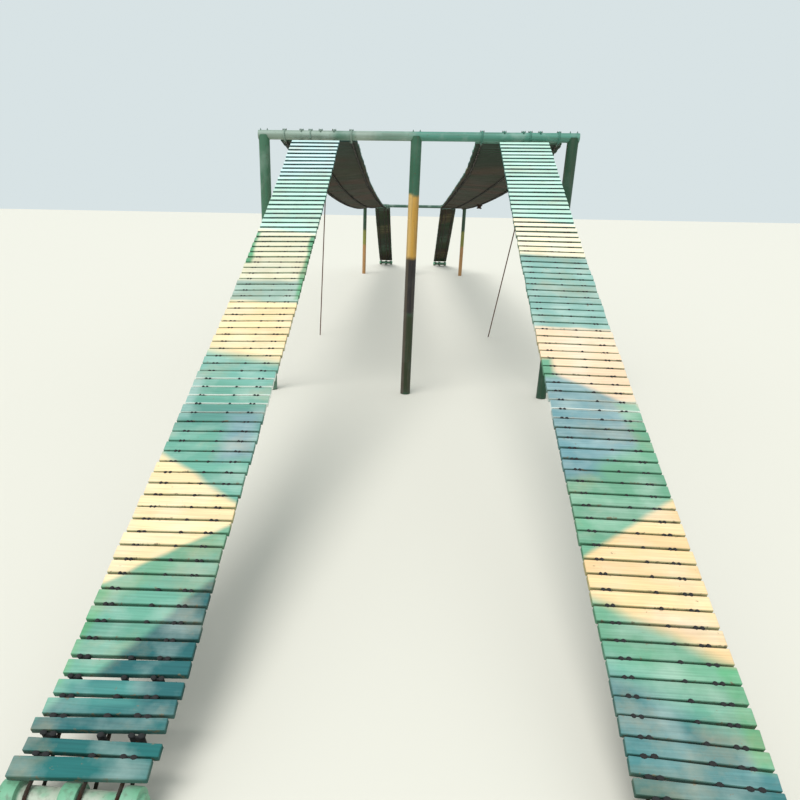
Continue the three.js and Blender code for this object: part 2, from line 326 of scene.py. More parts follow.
# Camouflage on the two near ramps, from the head down. An edge is the paint below it, how far up the
# ramp it lies at the left and at the right side, and its softness. Patches come on top of that.
camouflage = {
    "left": {
        "edges": [
            ("whiteMint", 9.00, 9.00, 0.05),
            ("mint", 5.50, 5.65, 0.12),
            ("paleCream", 4.55, 4.48, 0.03),
            ("greyGreen", 3.70, 3.72, 0.03),
            ("cream", 3.42, 3.40, 0.03),
            ("paleTeal", 2.80, 2.68, 0.08),
            ("teal", 2.47, 2.42, 0.04),
            ("cream", 1.78, 1.42, 0.03),
            ("leaf", 0.86, 1.27, 0.02),
            ("seaGreen", 0.72, 1.10, 0.05),
            ("deepTeal", 0.22, 0.92, 0.025),
            ("footTeal", 0.12, 0.22, 0.08),
        ],
        "patches": [
            ("green", (-0.25, 4.22), (0.035, 0.26), 3, 0.02),
            ("green", (0.25, 3.95), (0.025, 0.50), 0, 0.015),
            ("mossTeal", (0.02, 2.12), (1, 0.10), 0, 0.09),
            ("slate", (0.15, 1.95), (0.09, 0.20), 8, 0.06),
            ("aqua", (-0.24, 2.30), (0.04, 0.22), 0, 0.03),
            ("green", (-0.24, 0.62), (0.035, 0.24), -4, 0.02),
            ("wetTeal", (-0.05, 0.34), (0.14, 0.07), 5, 0.05),
        ],
    },
    "right": {
        "edges": [
            ("mint", 9.00, 9.00, 0.05),
            ("milkCream", 4.76, 4.62, 0.03),
            ("aqua", 4.10, 4.06, 0.04),
            ("pinkCream", 3.08, 3.08, 0.02),
            ("slate", 2.60, 2.25, 0.03),
            ("leaf", 1.66, 1.95, 0.06),
            ("sand", 1.13, 1.52, 0.02),
            ("leaf", 0.89, 0.60, 0.05),
            ("seaGreen", 0.66, 0.34, 0.08),
            ("slateTeal", 0.55, 0.24, 0.06),
            ("footTeal", 0.16, 0.10, 0.06),
        ],
        "patches": [
            ("mint", (-0.12, 5.72), (0.12, 0.28), 0, 0.08),
            ("leaf", (-0.23, 2.62), (0.05, 0.10), 0, 0.03),
            ("leaf", (0.22, 2.05), (0.07, 0.25), 6, 0.03),
            ("steelBlue", (-0.19, 1.95), (0.08, 0.27), 4, 0.06),
            ("pinkCream", (0.06, 0.80), (0.09, 0.035), -18, 0.05),
            ("green", (0.23, 0.40), (0.045, 0.20), 0, 0.025),
        ],
    },
}


# Everything below an edge is one large patch whose upper side lies along it
def patchesOf(pattern, halfWidth, reach=12):
    patches = []
    for paint, left, right, softness in pattern["edges"]:
        turn = math.atan2(right - left, 2 * halfWidth)
        middle = (reach * math.sin(turn), (left + right) / 2 - reach * math.cos(turn))
        patches.append((paint, middle, (reach, reach), math.degrees(turn), softness))
    return patches + pattern["patches"]


# Slanting bands of the same paints on the decks and far ramps, about 3 m to a full set
bands = {
    "setsPerMetre": (0.13, 0.31, 0.0),
    "stops": [
        (0.0, "darkTeal"), (0.13, "darkTeal"),
        (0.16, "cream"), (0.33, "cream"),
        (0.36, "leaf"), (0.5, "leaf"),
        (0.54, "slate"), (0.64, "slate"),
        (0.68, "mint"), (0.84, "mint"),
        (0.88, "green"), (0.98, "green"),
    ],
}


def bandedCamouflage(tree, place):
    slanted = addNode(tree, "ShaderNodeVectorMath", {0: place, 1: bands["setsPerMetre"]},
                      operation="DOT_PRODUCT")
    wrapped = addNode(tree, "ShaderNodeMath", {0: slanted.outputs["Value"]}, operation="FRACT")
    banded = addNode(tree, "ShaderNodeValToRGB", {"Fac": wrapped.outputs[0]})
    elements, stops = banded.color_ramp.elements, bands["stops"]
    for spot, paint in stops[1:-1]:
        elements.new(spot).color = linearColour(paints[paint])
    elements[0].color = linearColour(paints[stops[0][1]])
    elements[-1].position = stops[-1][0]
    elements[-1].color = linearColour(paints[stops[-1][1]])
    return banded.outputs["Color"]


boardLook = {
    "bare": "#7E6E58",
    # the undersides' colours, kept dark as painted shade
    "under": "#24210A",
    "underRed": "#362009",
    "underGreen": "#1B2507",
    "deckEnd": "#2B5A54",
    "mossAndShade": "#15291B",
    # painted shade on the boards' sides, deep and half; the worn white is real wear
    "deepShadeSide": "#4C7276",
    "halfShadeSide": "#B9CCC2",
    "wornSide": "#F2F6EE",
    "dust": "#B89F7C",
    "chalk": "#DDE4DA",
    "grainWidth": 0.009,  # real grain is finer, drawn as coarse as it shows from the foot
    "grainLength": 0.28,
    "grainTones": (0.84, 1.08),
    "grainDepth": 0.0012,
    "chipSize": 0.012,
    "chipSpacing": 3,
    "driftsPerMetre": 2.4,  # how the sprayed edges wander
    "driftReach": 0.10,
    "fadesPerMetre": 5.0,
    "dustPerMetre": 3.1,
    "blotchesPerMetre": 1.6,
    "tones": (0.88, 1.07),  # from one board to the next
    "mossAndShadeReach": (0.4, 1.6),  # behind the near frame the undersides are darker and greener: moss together with painted shade of the beam
    "roughness": (0.62, 0.85),
    "gloss": 0.2,  # chalked paint and weathered wood hardly shine
}


# The painted upper face: faded, grained, chipped to bare wood and dusty. Gives back its colour and
# the nodes that the rest of the board's look follows.
def boardFace(tree, place, colour):
    look = boardLook
    tone = addNode(tree, "ShaderNodeAttribute", attribute_name="tone")
    value = addNode(tree, "ShaderNodeMapRange", {"Value": tone.outputs["Fac"], "To Min": look["tones"][0],
                                                 "To Max": look["tones"][1]})
    toned = addNode(tree, "ShaderNodeHueSaturation", {"Value": value.outputs[0], "Color": colour})
    fade = addNode(tree, "ShaderNodeTexNoise", {"Vector": place, "Scale": look["fadesPerMetre"],
                                                "Detail": 6.0})
    faded = addNode(tree, "ShaderNodeMapRange", {"Value": fade.outputs["Fac"], "From Min": 0.45,
                                                 "From Max": 0.75, "To Max": 0.30})
    chalky = addNode(tree, "ShaderNodeMix", {0: faded.outputs[0], 6: toned.outputs[0],
                                             7: linearColour(look["chalk"])}, data_type="RGBA")
    stretched = addNode(tree, "ShaderNodeMapping", {
        "Vector": place,
        "Scale": (1 / look["grainLength"], 1 / look["grainWidth"], 1 / look["grainWidth"]),
    })
    grain = addNode(tree, "ShaderNodeTexNoise", {"Vector": stretched.outputs[0], "Scale": 1.0, "Detail": 4.0,
                                                 "Distortion": 0.3})
    darker = addNode(tree, "ShaderNodeMapRange", {
        "Value": grain.outputs["Fac"],
        "From Min": 0.3,
        "From Max": 0.7,
        "To Min": look["grainTones"][0],
        "To Max": look["grainTones"][1],
    })
    grained = addNode(tree, "ShaderNodeHueSaturation", {"Value": darker.outputs[0],
                                                        "Color": chalky.outputs[2]})
    # chips lie mostly near the long edges of a board
    chips = addNode(tree, "ShaderNodeTexNoise", {
        "Vector": place,
        "Scale": 1 / look["chipSize"] / look["chipSpacing"],
        "Detail": 5.0,
        "Roughness": 0.7,
    })
    onBoard = addNode(tree, "ShaderNodeAttribute", attribute_name="onBoard")
    sides = addNode(tree, "ShaderNodeVectorMath", {0: onBoard.outputs["Vector"]}, operation="ABSOLUTE")
    across = addNode(tree, "ShaderNodeSeparateXYZ", {0: sides.outputs[0]})
    nearEdge = addNode(tree, "ShaderNodeMapRange", {"Value": across.outputs["Y"], "From Min": 0.72,
                                                    "From Max": 1.0, "To Max": 0.10})
    chipped = addNode(tree, "ShaderNodeMath", {0: chips.outputs["Fac"], 1: nearEdge.outputs[0]},
                      operation="ADD")
    bare = addNode(tree, "ShaderNodeMapRange", {"Value": chipped.outputs[0], "From Min": 0.66,
                                                "From Max": 0.72, "To Max": 0.8})
    worn = addNode(tree, "ShaderNodeMix", {0: bare.outputs[0], 6: grained.outputs[0],
                                           7: linearColour(look["bare"])}, data_type="RGBA")
    dust = addNode(tree, "ShaderNodeTexNoise", {"Vector": place, "Scale": look["dustPerMetre"], "Detail": 8.0,
                                                "Roughness": 0.62})
    dusty = addNode(tree, "ShaderNodeMapRange", {"Value": dust.outputs["Fac"], "From Min": 0.52,
                                                 "From Max": 0.78, "To Max": 0.45})
    face = addNode(tree, "ShaderNodeMix", {0: dusty.outputs[0], 6: worn.outputs[2],
                                           7: linearColour(look["dust"])}, data_type="RGBA")
    return face.outputs[2], {"fade": fade, "grain": grain, "darker": darker, "bare": bare}


# Sides are painted shade of the gaps: darker than the face, deepest near a ramp's head, and worn white on
# some boards
def boardSides(tree, face, normal):
    look = boardLook
    tone = addNode(tree, "ShaderNodeAttribute", attribute_name="sideShadeAndWear")
    # from deep painted shade over half shade to white where the sides are worn
    light = addNode(tree, "ShaderNodeValToRGB", {"Fac": tone.outputs["Fac"]})
    light.color_ramp.elements[0].color = linearColour(look["deepShadeSide"])
    light.color_ramp.elements[1].color = linearColour(look["wornSide"])
    light.color_ramp.elements.new(0.5).color = linearColour(look["halfShadeSide"])
    whitened = addNode(tree, "ShaderNodeMapRange", {"Value": tone.outputs["Fac"], "From Min": 0.5,
                                                    "From Max": 1.0, "To Max": 0.8})
    shadedSide = addNode(tree, "ShaderNodeMix", {0: 1.0, 6: face, 7: light.outputs["Color"]},
                     data_type="RGBA", blend_type="MULTIPLY")
    side = addNode(tree, "ShaderNodeMix", {0: whitened.outputs[0], 6: shadedSide.outputs[2],
                                           7: linearColour(look["wornSide"])}, data_type="RGBA")
    sideways = addNode(tree, "ShaderNodeMapRange", {"Value": normal.outputs["Z"], "From Min": 0.35,
                                                    "From Max": 0.7, "To Min": 1.0, "To Max": 0.0})
    return addNode(tree, "ShaderNodeMix", {0: sideways.outputs[0], 6: face, 7: side.outputs[2]},
                   data_type="RGBA").outputs[2]


# Undersides are bare wood, coloured very dark as painted shade
def boardUnderside(tree, place, outside, darker, normal):
    look = boardLook
    blotch = addNode(tree, "ShaderNodeTexNoise", {"Vector": place, "Scale": look["blotchesPerMetre"],
                                                  "Detail": 4.0})
    tints = addNode(tree, "ShaderNodeValToRGB", {"Fac": blotch.outputs["Fac"]})
    tints.color_ramp.elements[0].position = 0.34
    tints.color_ramp.elements[0].color = linearColour(look["underGreen"])
    tints.color_ramp.elements[1].position = 0.66
    tints.color_ramp.elements[1].color = linearColour(look["underRed"])
    tints.color_ramp.elements.new(0.5).color = linearColour(look["under"])
    lengthwise = addNode(tree, "ShaderNodeSeparateXYZ", {0: place})
    # darker and greener towards the near frame: moss together with painted shade of the beam
    nearFrame = addNode(tree, "ShaderNodeMapRange", {
        "Value": lengthwise.outputs["Y"],
        "From Min": nearBeam.y + look["mossAndShadeReach"][0],
        "From Max": nearBeam.y + look["mossAndShadeReach"][1],
        "To Min": 0.85,
        "To Max": 0.0,
    })
    mossAndShade = addNode(tree, "ShaderNodeMix", {0: nearFrame.outputs[0], 6: tints.outputs["Color"],
                                            7: linearColour(look["mossAndShade"])}, data_type="RGBA")
    below = addNode(tree, "ShaderNodeHueSaturation", {"Value": darker.outputs[0], "Color": mossAndShade.outputs[2]})
    downwards = addNode(tree, "ShaderNodeMapRange", {"Value": normal.outputs["Z"], "From Min": -0.35,
                                                     "From Max": -0.7})
    return addNode(tree, "ShaderNodeMix", {0: downwards.outputs[0], 6: outside, 7: below.outputs[0]},
                   data_type="RGBA").outputs[2]


# Sawn softwood boards under thin, faded camouflage enamel: matt, with the grain telegraphing
# through, paint rubbed off along the arrises, and no paint on the underside. Sides and undersides are
# coloured darker as painted shade. Boards without patches of their own are banded, and their ends are
# painted dark.
def paintedBoards(name, patches=None, origin=(0, 0)):
    material, tree, shader = newMaterial(name, 0.72)
    look = boardLook
    place = addNode(tree, "ShaderNodeTexCoord").outputs["Object"]
    drift = addNode(tree, "ShaderNodeTexNoise", {"Vector": place, "Scale": look["driftsPerMetre"],
                                                 "Detail": 3.0})
    push = addNode(tree, "ShaderNodeVectorMath", {0: drift.outputs["Color"], 1: (0.5, 0.5, 0.5)},
                   operation="SUBTRACT")
    soft = addNode(tree, "ShaderNodeVectorMath", {0: push.outputs[0], "Scale": look["driftReach"]},
                   operation="SCALE")
    moved = addNode(tree, "ShaderNodeVectorMath", {0: place, 1: soft.outputs[0]}, operation="ADD").outputs[0]
    if patches:
        paint = sprayed(tree, moved, linearColour(paints["teal"]), patches, origin)
    else:
        paint = bandedCamouflage(tree, moved)
    face, made = boardFace(tree, place, paint)
    facing = addNode(tree, "ShaderNodeNewGeometry")
    normal = addNode(tree, "ShaderNodeSeparateXYZ", {0: facing.outputs["Normal"]})
    outside = boardSides(tree, face, normal)
    colour = boardUnderside(tree, place, outside, made["darker"], normal)
    if not patches:
        endOn = addNode(tree, "ShaderNodeMath", {0: normal.outputs["X"]}, operation="ABSOLUTE")
        ends = addNode(tree, "ShaderNodeMapRange", {"Value": endOn.outputs[0], "From Min": 0.5,
                                                    "From Max": 0.8, "To Max": 0.9})
        colour = addNode(tree, "ShaderNodeMix", {
            0: ends.outputs[0],
            6: colour,
            7: linearColour(look["deckEnd"]),
        }, data_type="RGBA").outputs[2]
    shader.inputs["Specular IOR Level"].default_value = look["gloss"]
    rough = addNode(tree, "ShaderNodeMapRange", {
        "Value": made["fade"].outputs["Fac"],
        "To Min": look["roughness"][0],
        "To Max": look["roughness"][1],
    })
    height = addNode(tree, "ShaderNodeMath", {0: made["grain"].outputs["Fac"], 1: made["bare"].outputs[0]},
                     operation="SUBTRACT")
    bump = addNode(tree, "ShaderNodeBump", {"Height": height.outputs[0], "Strength": 0.45,
                                            "Distance": look["grainDepth"]})
    tree.links.new(colour, shader.inputs["Base Color"])
    tree.links.new(rough.outputs[0], shader.inputs["Roughness"])
    tree.links.new(bump.outputs[0], shader.inputs["Normal"])
    return material


steelLook = {
    "rust": "#5A3A26",
    "dirt": "#4B4436",
    "chalk": "#B9C6BE",
    "streakWidth": 0.02,
    "streakLength": 0.5,
    "chipSize": 0.008,
    "chipSpacing": 3,
    "chipDepth": 0.0008,
    "edgesPerMetre": 9.0,  # how a brushed band's edge wanders
    "edgeReach": 0.03,
    "fadesPerMetre": 6.0,
}


# Brushed enamel on mild steel tube: half matt, streaked with dirt, chipped to brown rust
def enamelledSteel(name, base, patches=(), upright=True, chalk=0.35, roughness=0.52):
    material, tree, shader = newMaterial(name, roughness)
    look = steelLook
    place = addNode(tree, "ShaderNodeTexCoord").outputs["Object"]
    split = addNode(tree, "ShaderNodeSeparateXYZ", {0: place})
    along = split.outputs["Z"] if upright else split.outputs["X"]
    sideways = split.outputs["X"] if upright else split.outputs["Z"]
    ragged = addNode(tree, "ShaderNodeTexNoise", {"Vector": place, "Scale": look["edgesPerMetre"],
                                                  "Detail": 3.0})
    shift = addNode(tree, "ShaderNodeMapRange", {"Value": ragged.outputs["Fac"], "To Min": -look["edgeReach"],
                                                 "To Max": look["edgeReach"]})
    moved = addNode(tree, "ShaderNodeMath", {0: along, 1: shift.outputs[0]}, operation="ADD")
    flat = addNode(tree, "ShaderNodeCombineXYZ", {"X": sideways, "Y": moved.outputs[0]})
    paint = sprayed(tree, flat.outputs[0], linearColour(paints[base]), patches)
    long, wide = 1 / look["streakLength"], 1 / look["streakWidth"]
    stretched = addNode(tree, "ShaderNodeMapping", {
        "Vector": place,
        "Scale": (wide, wide, long) if upright else (long, wide, wide),
    })
    streaks = addNode(tree, "ShaderNodeTexNoise", {"Vector": stretched.outputs[0], "Scale": 1.0,
                                                   "Detail": 5.0})
    dirty = addNode(tree, "ShaderNodeMapRange", {"Value": streaks.outputs["Fac"], "From Min": 0.5,
                                                 "From Max": 0.75, "To Max": 0.5})
    streaked = addNode(tree, "ShaderNodeMix", {0: dirty.outputs[0], 6: paint, 7: linearColour(look["dirt"])},
                       data_type="RGBA")
    pale = addNode(tree, "ShaderNodeTexNoise", {"Vector": place, "Scale": look["fadesPerMetre"],
                                                "Detail": 6.0})
    chalky = addNode(tree, "ShaderNodeMapRange", {"Value": pale.outputs["Fac"], "From Min": 0.5,
                                                  "From Max": 0.75, "To Max": chalk})
    faded = addNode(tree, "ShaderNodeMix", {0: chalky.outputs[0], 6: streaked.outputs[2],
                                            7: linearColour(look["chalk"])}, data_type="RGBA")
    chips = addNode(tree, "ShaderNodeTexNoise", {
        "Vector": place,
        "Scale": 1 / look["chipSize"] / look["chipSpacing"],
        "Detail": 6.0,
        "Roughness": 0.72,
    })
    rusty = addNode(tree, "ShaderNodeMapRange", {"Value": chips.outputs["Fac"], "From Min": 0.63,
                                                 "From Max": 0.67, "To Max": 0.9})
    chipped = addNode(tree, "ShaderNodeMix", {0: rusty.outputs[0], 6: faded.outputs[2],
                                              7: linearColour(look["rust"])}, data_type="RGBA")
    rough = addNode(tree, "ShaderNodeMapRange", {"Value": rusty.outputs[0], "To Min": roughness,
                                                 "To Max": 0.9})
    bump = addNode(tree, "ShaderNodeBump", {"Height": chips.outputs["Fac"], "Strength": 0.3,
                                            "Distance": look["chipDepth"]})
    tree.links.new(chipped.outputs[2], shader.inputs["Base Color"])
    tree.links.new(rough.outputs[0], shader.inputs["Roughness"])
    tree.links.new(bump.outputs[0], shader.inputs["Normal"])
    return material


# Colours of a rope are those in its grooves, on its strands and of its rust
ropeLook = {
    "weathered": ("#1A1612", "#4E463C", "#40291B"),
    # ropes under the decks are dark with painted shade, together with overspray
    "oversprayedAndShaded": ("#1E1C0E", "#3A3622", "#2E2212"),
    "beamPaint": ("#7F9487", "#3F7868"),  # at the left, and to the right of the middle
    "beamPaintPlaces": (-0.6, 0.2),
    "paintReach": 0.06,
    "metallic": 0.55,
    "spotsPerMetre": 22.0,
    "grooveDepth": 0.0015,
}


# Galvanised wire rope gone dull and brown: metal under grime, its strands showing as a screw of
# ridges, and painted over with the frame's green where it goes round a beam
def weatheredWireRope(name, strands, layLength, colours):
    look = ropeLook
    material, tree, shader = newMaterial(name, 0.6, metallic=look["metallic"])
    dark, light, brown = [linearColour(code) for code in colours]
    place = addNode(tree, "ShaderNodeTexCoord").outputs["Object"]
    around = addNode(tree, "ShaderNodeAttribute", attribute_name="aroundRope")
    along = addNode(tree, "ShaderNodeAttribute", attribute_name="alongRope")
    split = addNode(tree, "ShaderNodeSeparateXYZ", {0: around.outputs["Vector"]})
    angle = addNode(tree, "ShaderNodeMath", {0: split.outputs["Y"], 1: split.outputs["X"]},
                    operation="ARCTAN2")
    turned = addNode(tree, "ShaderNodeMath", {0: along.outputs["Fac"], 1: 2 * math.pi / layLength},
                     operation="MULTIPLY")
    screw = addNode(tree, "ShaderNodeMath", {0: angle.outputs[0], 1: turned.outputs[0]}, operation="ADD")
    wave = addNode(tree, "ShaderNodeMath", {0: screw.outputs[0], 1: strands / 2}, operation="MULTIPLY")
    ridge = addNode(tree, "ShaderNodeMath", {0: wave.outputs[0]}, operation="SINE")
    strand = addNode(tree, "ShaderNodeMath", {0: ridge.outputs[0]}, operation="ABSOLUTE")
    groove = addNode(tree, "ShaderNodeMix", {0: strand.outputs[0], 6: dark, 7: light}, data_type="RGBA")
    spots = addNode(tree, "ShaderNodeTexNoise", {"Vector": place, "Scale": look["spotsPerMetre"],
                                                 "Detail": 6.0})
    rusty = addNode(tree, "ShaderNodeMapRange", {"Value": spots.outputs["Fac"], "From Min": 0.48,
                                                 "From Max": 0.62})
    browned = addNode(tree, "ShaderNodeMix", {0: rusty.outputs[0], 6: groove.outputs[2], 7: brown},
                      data_type="RGBA")
    # both beams are equally far from the middle of the span
    spot = addNode(tree, "ShaderNodeSeparateXYZ", {0: place})
    centred = addNode(tree, "ShaderNodeMath", {0: spot.outputs["Y"], 1: (nearBeam.y + farBeam.y) / 2},
                      operation="SUBTRACT")
    fromMiddle = addNode(tree, "ShaderNodeMath", {0: centred.outputs[0]}, operation="ABSOLUTE")
    atBeam = addNode(tree, "ShaderNodeMath", {
        0: fromMiddle.outputs[0],
        1: (farBeam.y - nearBeam.y) / 2,
        2: look["paintReach"],
    }, operation="COMPARE")
    toRight = addNode(tree, "ShaderNodeMapRange", {
        "Value": spot.outputs["X"],
        "From Min": look["beamPaintPlaces"][0],
        "From Max": look["beamPaintPlaces"][1],
    })
    leftPaint, rightPaint = [linearColour(code) for code in look["beamPaint"]]
    beamPaint = addNode(tree, "ShaderNodeMix", {0: toRight.outputs[0], 6: leftPaint, 7: rightPaint},
                        data_type="RGBA")
    painted = addNode(tree, "ShaderNodeMix", {0: atBeam.outputs[0], 6: browned.outputs[2],
                                              7: beamPaint.outputs[2]}, data_type="RGBA")
    metal = addNode(tree, "ShaderNodeMapRange", {"Value": atBeam.outputs[0], "To Min": look["metallic"],
                                                 "To Max": 0.0})
    bump = addNode(tree, "ShaderNodeBump", {"Height": strand.outputs[0], "Strength": 0.7,
                                            "Distance": look["grooveDepth"]})
    tree.links.new(painted.outputs[2], shader.inputs["Base Color"])
    tree.links.new(metal.outputs[0], shader.inputs["Metallic"])
    tree.links.new(bump.outputs[0], shader.inputs["Normal"])
    return material


# From dark to light
rustLook = {
    "brown": ("#3A2419", "#6E4630"),
    "blackBrown": ("#241812", "#4A3326"),
    "scalesPerMetre": 60.0,
}


# Hot-rolled mild steel rod and plate left bare: even brown rust, quite matt
def rustedSteel(name, colours):
    material, tree, shader = newMaterial(name, 0.85, metallic=0.15)
    dark, light = [linearColour(code) for code in colours]
    place = addNode(tree, "ShaderNodeTexCoord").outputs["Object"]
    scale = addNode(tree, "ShaderNodeTexNoise", {"Vector": place, "Scale": rustLook["scalesPerMetre"],
                                                 "Detail": 7.0, "Roughness": 0.65})
    colour = addNode(tree, "ShaderNodeMix", {0: scale.outputs["Fac"], 6: dark, 7: light}, data_type="RGBA")
    bump = addNode(tree, "ShaderNodeBump", {"Height": scale.outputs["Fac"], "Strength": 0.5,
                                            "Distance": 0.0008})
    tree.links.new(colour.outputs[2], shader.inputs["Base Color"])
    tree.links.new(bump.outputs[0], shader.inputs["Normal"])
    return material


zincLook = {"dull": "#6F8A80", "rust": "#4E3A2B", "spotsPerMetre": 90.0, "roughness": (0.45, 0.85)}


# Zinc-plated bolts, dulled to grey-green with paint and rust in patches
def dulledZinc(name):
    material, tree, shader = newMaterial(name, 0.5, metallic=0.6)
    look = zincLook
    place = addNode(tree, "ShaderNodeTexCoord").outputs["Object"]
    spots = addNode(tree, "ShaderNodeTexNoise", {"Vector": place, "Scale": look["spotsPerMetre"],
                                                 "Detail": 5.0})
    rusty = addNode(tree, "ShaderNodeMapRange", {"Value": spots.outputs["Fac"], "From Min": 0.45,
                                                 "From Max": 0.65})
    colour = addNode(tree, "ShaderNodeMix", {0: rusty.outputs[0], 6: linearColour(look["dull"]),
                                             7: linearColour(look["rust"])}, data_type="RGBA")
    rough = addNode(tree, "ShaderNodeMapRange", {"Value": rusty.outputs[0], "To Min": look["roughness"][0],
                                                 "To Max": look["roughness"][1]})
    tree.links.new(colour.outputs[2], shader.inputs["Base Color"])
    tree.links.new(rough.outputs[0], shader.inputs["Roughness"])
    return material


hempLook = {"tarred": "#0E0E10", "rubbed": "#2A2A2A", "yarnsPerMetre": 240.0, "yarnDepth": 0.001}


# Tarred hemp lashing: near black, soft and matt
def tarredHemp(name):
    material, tree, shader = newMaterial(name, 0.9)
    look = hempLook
    place = addNode(tree, "ShaderNodeTexCoord").outputs["Object"]
    yarn = addNode(tree, "ShaderNodeTexNoise", {"Vector": place, "Scale": look["yarnsPerMetre"],
                                                "Detail": 3.0})
    colour = addNode(tree, "ShaderNodeMix", {0: yarn.outputs["Fac"], 6: linearColour(look["tarred"]),
                                             7: linearColour(look["rubbed"])}, data_type="RGBA")
    bump = addNode(tree, "ShaderNodeBump", {"Height": yarn.outputs["Fac"], "Strength": 0.6,
                                            "Distance": look["yarnDepth"]})
    tree.links.new(colour.outputs[2], shader.inputs["Base Color"])
    tree.links.new(bump.outputs[0], shader.inputs["Normal"])
    return material


# The lanes as the solids have them. Places are outwards from the bridge's middle, at foot and head.

lanes = {
    "left": {
        "sign": -1,
        "ramps": {
            "near": {
                "boards": (1.062, 1.050),
                "ropes": [(0.911, 0.862), (1.043, 1.003), (1.235, 1.205)],
                "sag": 0.135,
            },
            "far": {
                "boards": (1.065, 1.065),
                "ropes": [(0.895, 0.895), (1.019, 1.019), (1.235, 1.235)],
                "sag": 0.060,
            },
        },
        "deckLines": [(0.625, 0.930), (0.680, 0.957), (1.110, 1.290), (1.385, 1.570), (1.440, 1.630)],
        "bank": 0.15,
        "stay": {"fromNearFrame": 4.000, "deckHeight": 2.310, "footX": 1.530, "footFromNearFrame": 3.990},
        "shortBaySag": 0.015,
        "longBaySag": 0.105,
    },
    "right": {
        "sign": 1,
        "ramps": {
            "near": {
                "boards": (1.107, 1.107),
                "ropes": [(0.933, 0.900), (1.149, 1.095), (1.270, 1.266)],
                "sag": 0.080,
            },
            "far": {
                "boards": (1.107, 1.107),
                "ropes": [(0.937, 0.937), (1.061, 1.061), (1.277, 1.277)],
                "sag": 0.060,
            },
        },
        "deckLines": [(0.620, 0.830), (0.675, 0.885), (1.165, 1.215), (1.455, 1.570), (1.510, 1.630)],
        "bank": 0.09,
        "stay": {"fromNearFrame": 2.150, "deckHeight": 2.420, "footX": 1.400, "footFromNearFrame": 4.300},
        "shortBaySag": 0.035,
        "longBaySag": 0.068,
    },
}
ropeNumbers = (1, 2, 3)  # of the deck lines too, whose first and last are a deck's edges
middleRope = 2
outerRope = 3
deckEdges = (0, 4)

ropeSeat = 0.0083  # from a rope's middle to what it lies on
ropes = {
    "radius": 0.008,
    "onBeam": beamRadius + ropeSeat,
    "onShaft": 0.0593,
    "wrapTurn": math.radians(210),
    "wrapSteps": 16,
    "rampSteps": 48,
    "shortBaySteps": 24,
    "longBaySteps": 56,
    "tailMeets": 0.30,
    "tailEnds": 0.45,
    "tailBelow": 0.0165,
    "layPerRadius": 13,
    "strands": 6,
    "strandRadius": 0.36,  # of the rope's radius, as the next one is
    "strandsOut": 0.64,
}

# Routes in the plane of the bridge's length: (u, v) is along and up


def touchPoint(axis, radius, slope, side):
    return (axis[0] - side * radius * math.sin(slope), axis[1] + side * radius * math.cos(slope))


def wrapRoute(axis, radius, fromSlope, toSlope, side):
    steps = ropes["wrapSteps"]
    slopes = [lerp(fromSlope, toSlope, (i + 0.5) / steps) for i in range(steps)]
    return [touchPoint(axis, radius, slope, side) for slope in slopes]


def sagRoute(start, end, sag, steps):
    shares = [i / steps for i in range(steps + 1)]
    return [(lerp(start[0], end[0], t), lerp(start[1], end[1], t) - 4 * sag * t * (1 - t)) for t in shares]


def sagSlopes(start, end, sag):
    run = end[0] - start[0]
    chord = (end[1] - start[1]) / run
    return math.atan(chord - 4 * sag / run), math.atan(chord + 4 * sag / run)


def offsetRoute(points, distance):
    moved = []
    for i, (u, v) in enumerate(points):
        before = points[max(i - 1, 0)]
        after = points[min(i + 1, len(points) - 1)]
        alongU, alongV = after[0] - before[0], after[1] - before[1]
        length = math.hypot(alongU, alongV)
        moved.append((u - distance * alongV / length, v + distance * alongU / length))
    return moved


# The stretch of a route between two places, without its own points next to the cuts
def trimRoute(points, fromU, toU, apart=0.001):
    def cut(u):
        i = next(k for k in range(1, len(points)) if points[k][0] >= u)
        a, b = points[i - 1], points[i]
        return (u, lerp(a[1], b[1], (u - a[0]) / (b[0] - a[0])))

    return [cut(fromU)] + [p for p in points if fromU + apart < p[0] < toU - apart] + [cut(toU)]


# Points at given distances along a route
def pointsAt(route, distances):
    lengths = [0.0]
    for a, b in zip(route, route[1:]):
        lengths.append(lengths[-1] + math.dist(a, b))
    points = []
    for distance in distances:
        k = next((k for k in range(1, len(route)) if lengths[k] >= distance), len(route) - 1)
        share = (distance - lengths[k - 1]) / (lengths[k] - lengths[k - 1])
        before, after = route[k - 1], route[k]
        points.append((lerp(before[0], after[0], share), lerp(before[1], after[1], share)))
    return points


# A rope's free end comes back under the shaft and lies along the rope's own underside
def rampRoute(run, beamHeight, sag):
    foot, head = (0, footHeight), (run, beamHeight)
    onShaft, onBeam = ropes["onShaft"], ropes["onBeam"]
    first, last = sagSlopes(foot, head, sag)
    start = touchPoint(foot, onShaft, first, 1)
    end = touchPoint(head, onBeam, last, -1)
    hanging = sagRoute(start, end, sag, ropes["rampSteps"])
    tail = trimRoute(offsetRoute(hanging, -ropes["tailBelow"]), ropes["tailMeets"], ropes["tailEnds"])
    tailU, tailV = tail[0][0] - foot[0], tail[0][1] - foot[1]
    leaving = math.atan2(tailV, tailU) + math.asin(onShaft / math.hypot(tailU, tailV))
    lower = wrapRoute(foot, onShaft, leaving + math.pi, first, 1)
    upper = wrapRoute(head, onBeam, last, last + ropes["wrapTurn"], -1)
    return {"hanging": hanging, "whole": tail[::-1] + lower + hanging + upper}


deckFrom, deckTo = nearBeam.y + 0.062, farBeam.y - 0.062  # the decks end just short of the beams


def spanShare(y):
    return min(max((y - deckFrom) / (deckTo - deckFrom), 0), 1)


def deckX(lane, line, y):
    near, far = lane["deckLines"][line]
    return lerp(near, far, spanShare(y))


# A deck's outer edge hangs lower than its inner one
def bankedPoint(lane, line, u, v):
    x = deckX(lane, line, u)
    drop = lane["bank"] * math.sin(math.pi * spanShare(u)) * (x - deckX(lane, middleRope, u))
    return Vector((lane["sign"] * x, u, v - drop))


